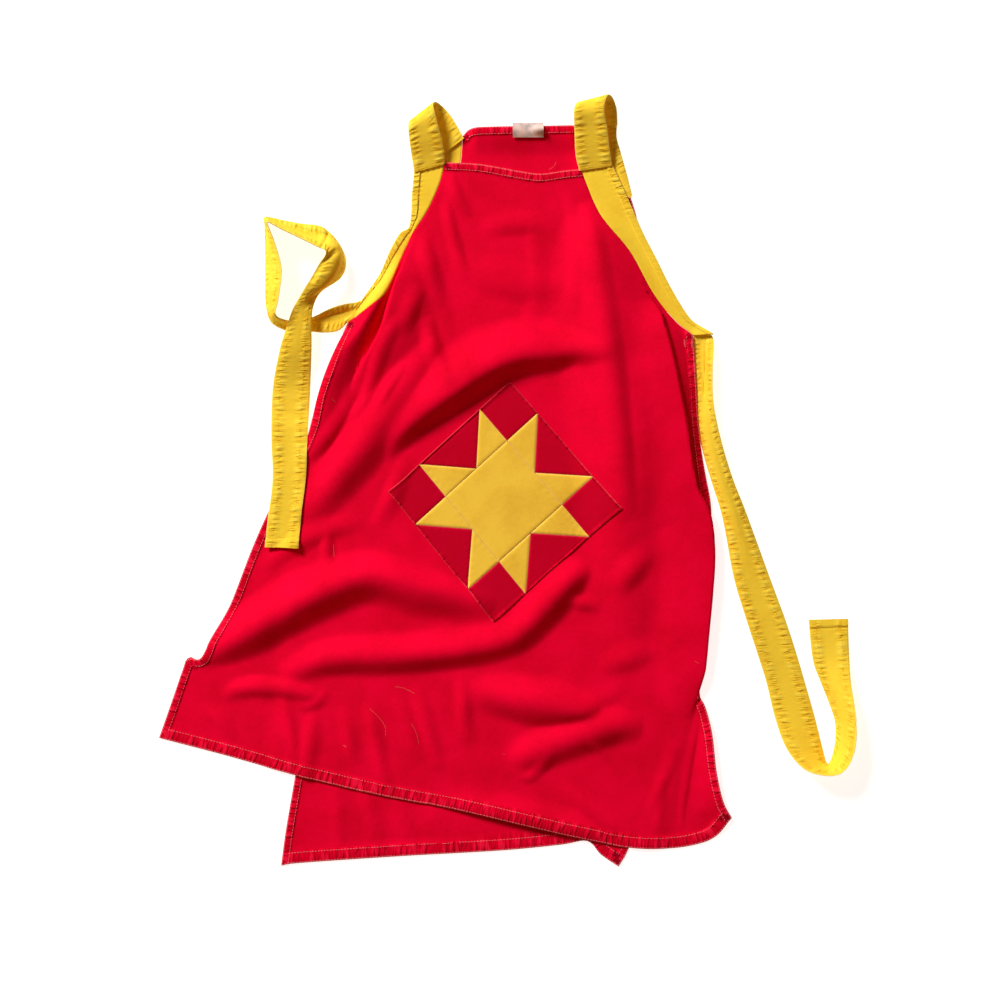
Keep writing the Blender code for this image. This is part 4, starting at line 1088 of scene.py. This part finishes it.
def add_patch(name, corners, material, phase):
    """A patch laid on the front, its edges turned down into the seams and the block's rim raised."""
    outline = block_point(*(np.array(corners, float).T / QUARTERS))
    if np.cross(outline[1] - outline[0], outline[2] - outline[0]) < 0:
        outline, corners = outline[::-1], corners[::-1]
    middle = outline.mean(axis=0)
    inner = middle + (outline - middle) * (1 - SEAM_HALF / np.linalg.norm(outline - middle, axis=1).min())
    first, second, third = inner[:3]
    fourth = inner[3] if len(inner) == 4 else inner[2]
    size = max(np.linalg.norm(second - first), np.linalg.norm(third - second))
    count = int(size / PATCH_STEP)
    low = np.array(PATCH_LINES) / size
    inside = PATCH_INNER_START / size
    steps = np.concatenate([low, np.linspace(inside, 1 - inside, count), 1 - low[::-1]])
    u, v = np.meshgrid(steps, steps)
    u, v = u[..., None], v[..., None]
    plan = first * (1 - u) * (1 - v) + second * u * (1 - v) + third * u * v + fourth * (1 - u) * v
    flat = plan.reshape(-1, 2)
    edge = np.full(len(flat), FAR)
    along = np.zeros(len(flat))
    rim = np.full(len(flat), FAR)
    for index in range(len(inner)):
        line = np.array([inner[index], inner[(index + 1) % len(inner)]])
        distance, _, place = nearest_on_line(flat, line)
        closer = distance < edge
        edge[closer], along[closer] = distance[closer], place[closer] * np.linalg.norm(line[1] - line[0])
        here, after = corners[index], corners[(index + 1) % len(corners)]
        if any(here[axis] == after[axis] and here[axis] in (0, QUARTERS) for axis in (0, 1)):
            rim = np.minimum(rim, distance)
    height = PATCH_CLOTH - PATCH_EDGE_DROP * np.clip(1 - edge / PATCH_EDGE, 0, 1) ** PATCH_EDGE_POWER
    band = bell(edge - PATCH_PUCKER_PLACE, PATCH_PUCKER_WIDTH)
    height += PATCH_PUCKER * ripple(along * PATCH_PUCKER_PITCH, phase) * band
    groove = RIM_GROOVE * bell(rim - RIM_GROOVE_PLACE, RIM_GROOVE_WIDTH)
    height += RIM_RISE * hill(np.abs(rim - RIM_PLACE) / RIM_WIDTH) - groove
    upper = raised(plan, CLOTH + (GAP + height), front_base)
    # The hem mark along the block's rim places the painted shade and highlight of the pucker streaks there
    marks = {"edge": edge, "along": along, "hem": bell(rim, RIM_MARK)}
    marks = {mark: values.reshape(u.shape[:2]) for mark, values in marks.items()}
    return add_sheet(name, upper, height.reshape(u.shape[:2]), material, plan, marks)


class Field:
    """A shader socket that takes part in sums: each operator on it adds one Math node."""

    def __init__(self, tree, socket=None):
        self.tree = tree
        self.socket = socket

    def node(self, kind, settings=None, values=None, output=0):
        """A node of a type, with its settings, then the values or links of its sockets."""
        made = self.tree.nodes.new(kind)
        for name, setting in (settings or {}).items():
            setattr(made, name, setting)
        for name, value in (values or {}).items():
            if isinstance(value, Field):
                self.tree.links.new(value.socket, made.inputs[name])
            else:
                made.inputs[name].default_value = value
        return Field(self.tree, made.outputs[output])

    def maths(self, operation, *values):
        return self.node("ShaderNodeMath", {"operation": operation}, dict(enumerate(values)))

    def __add__(self, other):
        return self.maths("ADD", self, other)

    def __radd__(self, other):
        return self.maths("ADD", other, self)

    def __sub__(self, other):
        return self.maths("SUBTRACT", self, other)

    def __rsub__(self, other):
        return self.maths("SUBTRACT", other, self)

    def __mul__(self, other):
        return self.maths("MULTIPLY", self, other)

    def __rmul__(self, other):
        return self.maths("MULTIPLY", other, self)

    def __truediv__(self, other):
        return self.maths("DIVIDE", self, other)

    def size(self):
        return self.maths("ABSOLUTE", self)

    def attribute(self, name):
        return self.node("ShaderNodeAttribute", {"attribute_name": name}, output="Fac")

    def noise(self, place, values):
        return self.node("ShaderNodeTexNoise", {}, {"Vector": place, **values}, output="Fac")

    def wave(self, place, direction, values):
        bands = {"wave_type": "BANDS", "bands_direction": direction}
        return self.node("ShaderNodeTexWave", bands, {"Vector": place, **values}, output="Fac")

    def join(self, socket):
        self.tree.links.new(self.socket, socket)

    def bump(self, height, strength, distance, shader):
        """A bump from a height, into a shader's normal."""
        values = {"Strength": strength, "Distance": distance, "Height": height}
        self.node("ShaderNodeBump", {}, values).join(shader.inputs["Normal"])

    def held(self, low=0.0, high=1.0):
        return self.maths("MINIMUM", self.maths("MAXIMUM", self, low), high)


def mixed(share, first, second):
    """A colour between two colours or links."""
    values = {MIX_SHARE: share, MIX_FIRST: first, MIX_SECOND: second}
    return share.node("ShaderNodeMix", {"data_type": "RGBA"}, values, output=MIX_RESULT)


def new_material(name):
    """A Principled material, its tree as a field, and its shader."""
    material = bpy.data.materials.new(name)
    material.use_nodes = True
    return material, Field(material.node_tree), material.node_tree.nodes["Principled BSDF"]


def set_cloth(shader, finish, sheen_tint):
    """Sets a shader's roughness, gloss and sheen."""
    names = ("Roughness", "Specular IOR Level", "Sheen Weight", "Sheen Roughness", "Sheen Tint")
    for name, value in zip(names, (*finish, SHEEN_ROUGHNESS, sheen_tint)):
        shader.inputs[name].default_value = value


def cotton(name, colours, uneven, streak_shape, wear, fold_shade_share=0.0):
    """Woven cotton: twill weave, uneven dye, painted shade in the valleys between the puckers of its hems, a
    painted highlight on their crests, a painted shade line along a hem's fold, and pale worn edges.

    The colours are the plain one, the deep one for uneven dye and painted shade, the painted highlight and
    the worn one. The streaks' shape is their size, the share of their painted shade and highlight, and how
    sharp they are. The wear is its reach and its share. The fold share is the strength of the painted fold
    line.
    """
    colour, deep_dye_and_shade, painted_highlight, worn = colours
    streak_size, painted_pucker_light_share, sharp = streak_shape
    wear_reach, wear_share = wear
    material, tree, shader = new_material(name)
    cloth = tree.node("ShaderNodeUVMap", {"uv_map": "cloth"})
    place = tree.node("ShaderNodeTexCoord", output="Object")
    edge, along, hem = tree.attribute("edge"), tree.attribute("along"), tree.attribute("hem")
    twill = tree.wave(cloth, "DIAGONAL", TWILL)
    yarn = tree.noise(cloth, YARN)
    dye = tree.noise(place, DYE)
    grain = tree.noise(place, GRAIN)
    across = edge / (streak_size * STREAK_STRETCH)
    streak_place = tree.node("ShaderNodeCombineXYZ", {}, {"X": along / streak_size, "Y": across, "Z": 0.5})
    streak = tree.noise(streak_place, STREAK)
    valley = (1.0 - (streak - VALLEY_PLACE).size() * sharp).held()
    crest = ((streak - CREST_PLACE) * sharp).held()
    speckle = (grain - 0.5) * GRAIN_SHARE
    depth = ((dye - 0.5) * DYE_SHARE + speckle + (yarn - 0.5) * YARN_SHARE + uneven).held(0.0, DEEPEST)
    base = mixed(depth, colour, deep_dye_and_shade)
    # Painted shade: a dark line along the hem's fold and darker pucker valleys; then a painted highlight on
    # the pucker crests
    painted_fold_shade = hem * (1.0 - hem) * 4.0 * fold_shade_share
    base = mixed((valley * hem * painted_pucker_light_share * PAINTED_VALLEY_SHADE + painted_fold_shade).held(), base, deep_dye_and_shade)
    base = mixed((crest * hem * painted_pucker_light_share).held(), base, painted_highlight)
    rubbed = grain * RUB_GRAIN + yarn * RUB_YARN - RUB_START
    rub = ((1.0 - edge / wear_reach).held() * rubbed).held() * wear_share
    mixed(rub.held(), base, worn).join(shader.inputs["Base Color"])
    weave = twill * TWILL_RISE + yarn * YARN_RISE
    streaks = streak * STREAK_CREST - valley * STREAK_VALLEY
    height = weave + streaks * hem * STREAK_RISE + dye * DYE_RISE
    tree.bump(height, *CLOTH_BUMP, shader)
    (ROUGH_MEAN + (grain - 0.5) * ROUGH_GRAIN).join(shader.inputs["Roughness"])
    set_cloth(shader, CLOTH_FINISH, colour)
    return material


def thread(name, colour):
    """Sewing thread, twisted, with painted shade in bands along its twist."""
    material, tree, shader = new_material(name)
    place = tree.node("ShaderNodeTexCoord", output="Object")
    twist = tree.wave(place, "DIAGONAL", TWIST)
    shade = tuple(c * THREAD_SHADE for c in colour[:3]) + (1,)
    mixed(twist * 0.5, colour, shade).join(shader.inputs["Base Color"])
    tree.bump(twist, *THREAD_BUMP, shader)
    set_cloth(shader, THREAD_FINISH, colour)
    return material


def label_cloth():
    """The blank label: woven tape, mottled by noise between pink and grey."""
    material, tree, shader = new_material("label_tape")
    cloth = tree.node("ShaderNodeUVMap", {"uv_map": "cloth"})
    weave = tree.wave(cloth, "X", TAPE_WEAVE)
    mottle = tree.noise(cloth, TAPE_MOTTLE)
    base = mixed(((mottle - MOTTLE_PLACE) * MOTTLE_SHARP).held(), LABEL_PINK, LABEL_GREY)
    base.join(shader.inputs["Base Color"])
    tree.bump(weave, *LABEL_BUMP, shader)
    set_cloth(shader, LABEL_FINISH, LABEL_PINK)
    return material


def plain_floor():
    material, _, shader = new_material("studio_floor")
    shader.inputs["Base Color"].default_value = FLOOR
    shader.inputs["Roughness"].default_value = FLOOR_ROUGH
    shader.inputs["Specular IOR Level"].default_value = FLOOR_GLOSS
    shader.inputs["Emission Color"].default_value = FLOOR
    shader.inputs["Emission Strength"].default_value = FLOOR_GLOW
    return material


def hem_stitches(name, hems, base, material):
    """Two rows of stitches along each hem, one by its fold and one by the edge."""
    lines = []
    for outline, hem, hand in hems:
        by_fold = (hem - FOLD_STITCH_INSET, HEM_EXTRA - GROOVE_DEPTH)
        by_edge = (EDGE_STITCH_INSET, HEM_EXTRA - EDGE_STITCH_SINK)
        for inset, lift in (by_fold, by_edge):
            points, normals = inset_line(outline, inset, hand, base, lift)
            seen = in_sight(points, outline) > 0.5
            for part in np.split(np.arange(len(points)), np.nonzero(np.diff(seen.astype(int)))[0] + 1):
                if seen[part[0]] and len(part) > SHORTEST_ROW:
                    lines.append((points[part], normals[part]))
    return add_stitches(name, lines, material)


def lying_thread(points, lift, count):
    """A thread lying on the front through the given places."""
    low, normals = with_normals(smooth_path(points, np.linspace(0, 1, count)), front_base)
    return low + normals * (CLOTH + lift)


def picture_place(x, y):
    """A place on the table from its pixels in the picture."""
    return (x - PIXEL_X) * PIXEL_MM, (PIXEL_Y - y) * PIXEL_MM


def add_label(material):
    """A blank label on the back neck hem, its far end curling up."""
    u, v = np.meshgrid(np.linspace(0, 1, LABEL_COLUMNS), np.linspace(0, 1, LABEL_ROWS))
    plan = np.dstack([LABEL_LEFT + (LABEL_RIGHT - LABEL_LEFT) * u, LABEL_LOW + (LABEL_HIGH - LABEL_LOW) * v])
    under = back_base(plan.reshape(-1, 2))[:, 2].reshape(u.shape)
    arch = np.sin(np.pi * v)
    curl = LABEL_CURL * arch ** 2 * smooth_step((u - LABEL_CURL_START) * LABEL_CURL_SPEED)
    curl = curl + LABEL_NEAR_CURL * arch * (1 - u)
    upper = np.dstack([plan, under + CLOTH + HEM_EXTRA + GAP + LABEL_CLOTH + curl])
    thick = np.full(u.shape, LABEL_CLOTH * LABEL_WALL)
    marks = {"edge": np.minimum(v, 1 - v) * LABEL_HALF, "along": u * LABEL_LONG, "hem": 0 * u}
    return add_sheet("label_tape", upper, thick, material, plan, marks)


def keep_sheet(piece, node, slot, rests_on, held="laid", with_pieces=()):
    """Hides the solid that a sheet stands for, hangs the sheet and its extra pieces on the root, and lists
    it with what it lies on.
    """
    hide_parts(node)
    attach(piece, "root")
    for extra in with_pieces:
        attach(extra, "root")
    sheets.append((piece, node, rests_on, held, list(with_pieces)))


def closed_area(piece):
    """Area of one face of a closed sheet, in square metres."""
    return sum(polygon.area for polygon in piece.data.polygons) / 2


def cut_size(node):
    """Width and length of the cut of a piece, in metres."""
    if node in CUT_SIZES:
        return CUT_SIZES[node]
    half, quarter = BLOCK_SIDE / 2, BLOCK_SIDE / 4
    if node == "star_centre":
        return half, half
    return (half if "edge" in node else quarter), quarter


sheets = []

# The streak shapes set the painted shade and highlight of the hems' pucker streaks; the red's fold share
# sets its painted shade line along the hems' folds
red = cotton(
    "red_twill", (RED, RED_DEEP_DYE_AND_SHADE, RED_CREST_HIGHLIGHT, RED_WORN),
    uneven=0.2, streak_shape=(3.8, 0.65, 6.0), wear=(1.3, 0.7), fold_shade_share=0.25,
)
red_patch = cotton(
    "red_patch_cotton", (RED_PATCH, RED_DEEP_DYE_AND_SHADE, RED, RED_WORN),
    uneven=0.22, streak_shape=(5.0, 0.4, 8.0), wear=(0.8, 0.5),
)
yellow = cotton(
    "yellow_twill", (YELLOW, YELLOW_DEEP_DYE_AND_SHADE, YELLOW_CREST_HIGHLIGHT, YELLOW_WORN),
    uneven=0.02, streak_shape=(4.0, 0.6, 9.0), wear=(1.3, 0.6),
)
mustard = cotton(
    "yellow_patch_cotton", (MUSTARD, MUSTARD_DEEP_DYE_AND_SHADE, YELLOW, YELLOW_WORN),
    uneven=0.12, streak_shape=(4.6, 0.5, 8.0), wear=(1.0, 0.5),
)
pale_thread = thread("pale_thread", THREAD_PALE)
yellow_thread = thread("yellow_thread", THREAD_YELLOW)
hair = thread("pale_hair", LINT)
label_tape = label_cloth()

front = add_panel(
    "front_cloth", FRONT_HEMS, (FRONT_LEFT_SEAM, FRONT_RIGHT_SEAM), FRONT_COUNTS, front_base, red,
)
back = add_panel(
    "back_cloth", BACK_HEMS, (BACK_LEFT_SEAM, BACK_RIGHT_SEAM), BACK_COUNTS, back_base, red,
)
front_sewing = hem_stitches("front_hem_stitches", FRONT_HEMS, front_base, pale_thread)
back_sewing = hem_stitches("back_hem_stitches", BACK_HEMS, back_base, pale_thread)

hairs = add_threads("lint", [
    lying_thread([picture_place(x, y) for x, y in row], HAIR_LIFT, HAIR_POINTS) for row in HAIRS
], HAIR_RADIUS, hair)
tacks = add_threads("bar_tacks", [
    lying_thread([(x + dx, y + dy) for dx, dy in TACK_SHAPE], TACK_LIFT, TACK_POINTS) for x, y in TACKS
], TACK_RADIUS, pale_thread)
keep_sheet(front, "front_panel", "red_cotton", ["back_cloth"], "laid", [front_sewing, hairs, tacks])
keep_sheet(back, "back_panel", "red_cotton", [], "laid", [back_sewing])

# Armhole pieces. The last columns: side of the seam that they lie on, phase and share of the puckers
# away from the strap, which also scales their painted shade and highlight
for node, seam, arm, base, hand, phase, elsewhere in (
    ("front_crescent_left", FRONT_LEFT_SEAM, FRONT_LEFT_ARM, front_base, -1, 0.4, 1),
    ("front_crescent_right", FRONT_RIGHT_SEAM, FRONT_RIGHT_ARM, front_base, 1, 1.9, 0.15),
    ("back_crescent_left", BACK_LEFT_SEAM, BACK_LEFT_ARM, back_base, -1, 3.1, 0.4),
    ("back_crescent_right", BACK_RIGHT_SEAM, BACK_RIGHT_ARM, back_base, 1, 4.4, 0.15),
):
    piece, upper, away, hem = add_crescent(node + "_cloth", seam, arm, base, hand, yellow, phase, elsewhere)
    marks = away - hem[:, None] + ARM_STITCH_INSET
    points, normals = on_grid(upper, *zero_line(marks, hand > 0))
    sewing = add_stitches(node + "_stitches", [(points, normals)], yellow_thread)
    keep_sheet(piece, node, "yellow_cotton", ["back_cloth"] if "front" in node else [], "laid", [sewing])

for node, rows, inset, pucker, phase, end_hem, over_front, held in (
    ("strap_left", STRAP_LEFT, STRAP_STITCH_INSET, STRAP_PUCKER, 0.7, 0, None, "folded"),
    ("strap_right", STRAP_RIGHT, STRAP_STITCH_INSET, STRAP_PUCKER, 2.3, 0, None, "folded"),
    ("tie_left", TIE_LEFT, TIE_STITCH_INSET, TIE_PUCKER, 1.1, TIE_END_HEM, TIE_OVER_FRONT_Y, "laid"),
    ("tie_right", TIE_RIGHT, TIE_STITCH_INSET, TIE_PUCKER, 3.9, TIE_END_HEM, None, "laid"),
):
    creases = RIBBON_CREASES.get(node, ())
    piece, upper, edge, along = add_ribbon(
        node + "_cloth", rows, inset, pucker, yellow, phase, end_hem, over_front, creases,
    )
    lines = [on_grid(upper, *zero_line(edge - inset, side)) for side in (False, True)]
    sewn_at = along[-1] - end_hem + END_STITCH_INSET if end_hem else SEAM_STITCH_INSET
    row = np.full(END_STITCH_POINTS, np.interp(sewn_at, along, np.arange(len(along))))
    lines.append(on_grid(upper, row, np.linspace(0, upper.shape[1] - 1, END_STITCH_POINTS)))
    lines = [(points, -normals) for points, normals in lines]
    sewing = add_stitches(node + "_stitches", lines, yellow_thread)
    keep_sheet(piece, node, "yellow_cotton", ["front_cloth"] if node == "tie_left" else [], held, [sewing])

for index, (node, colour, corners) in enumerate(star_patches()):
    cloth = red_patch if colour == "red" else mustard
    piece = add_patch(node + "_patch", corners, cloth, PATCH_PHASE * index)
    keep_sheet(piece, node, colour + "_cotton", ["front_cloth"])

keep_sheet(add_label(label_tape), "label", "label_cotton", ["back_cloth"])

for piece, node, rests_on, held, extras in sheets:
    width, length = cut_size(node)
    area = float(np.clip(closed_area(piece), LEAST_AREA * width * length, width * length))

# Studio: floor, light and camera
bpy.ops.object.select_all(action="DESELECT")
bpy.ops.mesh.primitive_plane_add(size=FLOOR_SIZE, location=(0, 0, FLOOR_HEIGHT))
floor = bpy.context.object
floor.name = floor.data.name = "studio_floor"
floor.data.materials.append(plain_floor())

world = bpy.data.worlds.new("studio_light")
world.use_nodes = True
backdrop = world.node_tree.nodes["Background"]
backdrop.inputs["Color"].default_value = SHADE_LIGHT
backdrop.inputs["Strength"].default_value = SHADE_STRENGTH
bpy.context.scene.world = world

lamp = bpy.data.lights.new("window", "AREA")
lamp.shape = "SQUARE"
lamp.size = WINDOW_SIZE
lamp.energy = WINDOW_POWER
window = bpy.data.objects.new("window", lamp)
east, north, up = WINDOW_PLACE
window.rotation_euler = (math.atan2(math.hypot(east, north), up), 0, math.atan2(east, -north))
window.location = WINDOW_PLACE
bpy.context.scene.collection.objects.link(window)

lens = bpy.data.cameras.new("view")
lens.lens = LENS
lens.sensor_width = SENSOR
camera = bpy.data.objects.new("view", lens)
camera.location = ((VIEW_X - ORIGIN_X) * MM, (VIEW_Y - ORIGIN_Y) * MM, VIEW_HEIGHT * MM)
bpy.context.scene.collection.objects.link(camera)
bpy.context.scene.camera = camera
bpy.context.scene.view_settings.view_transform = "Standard"
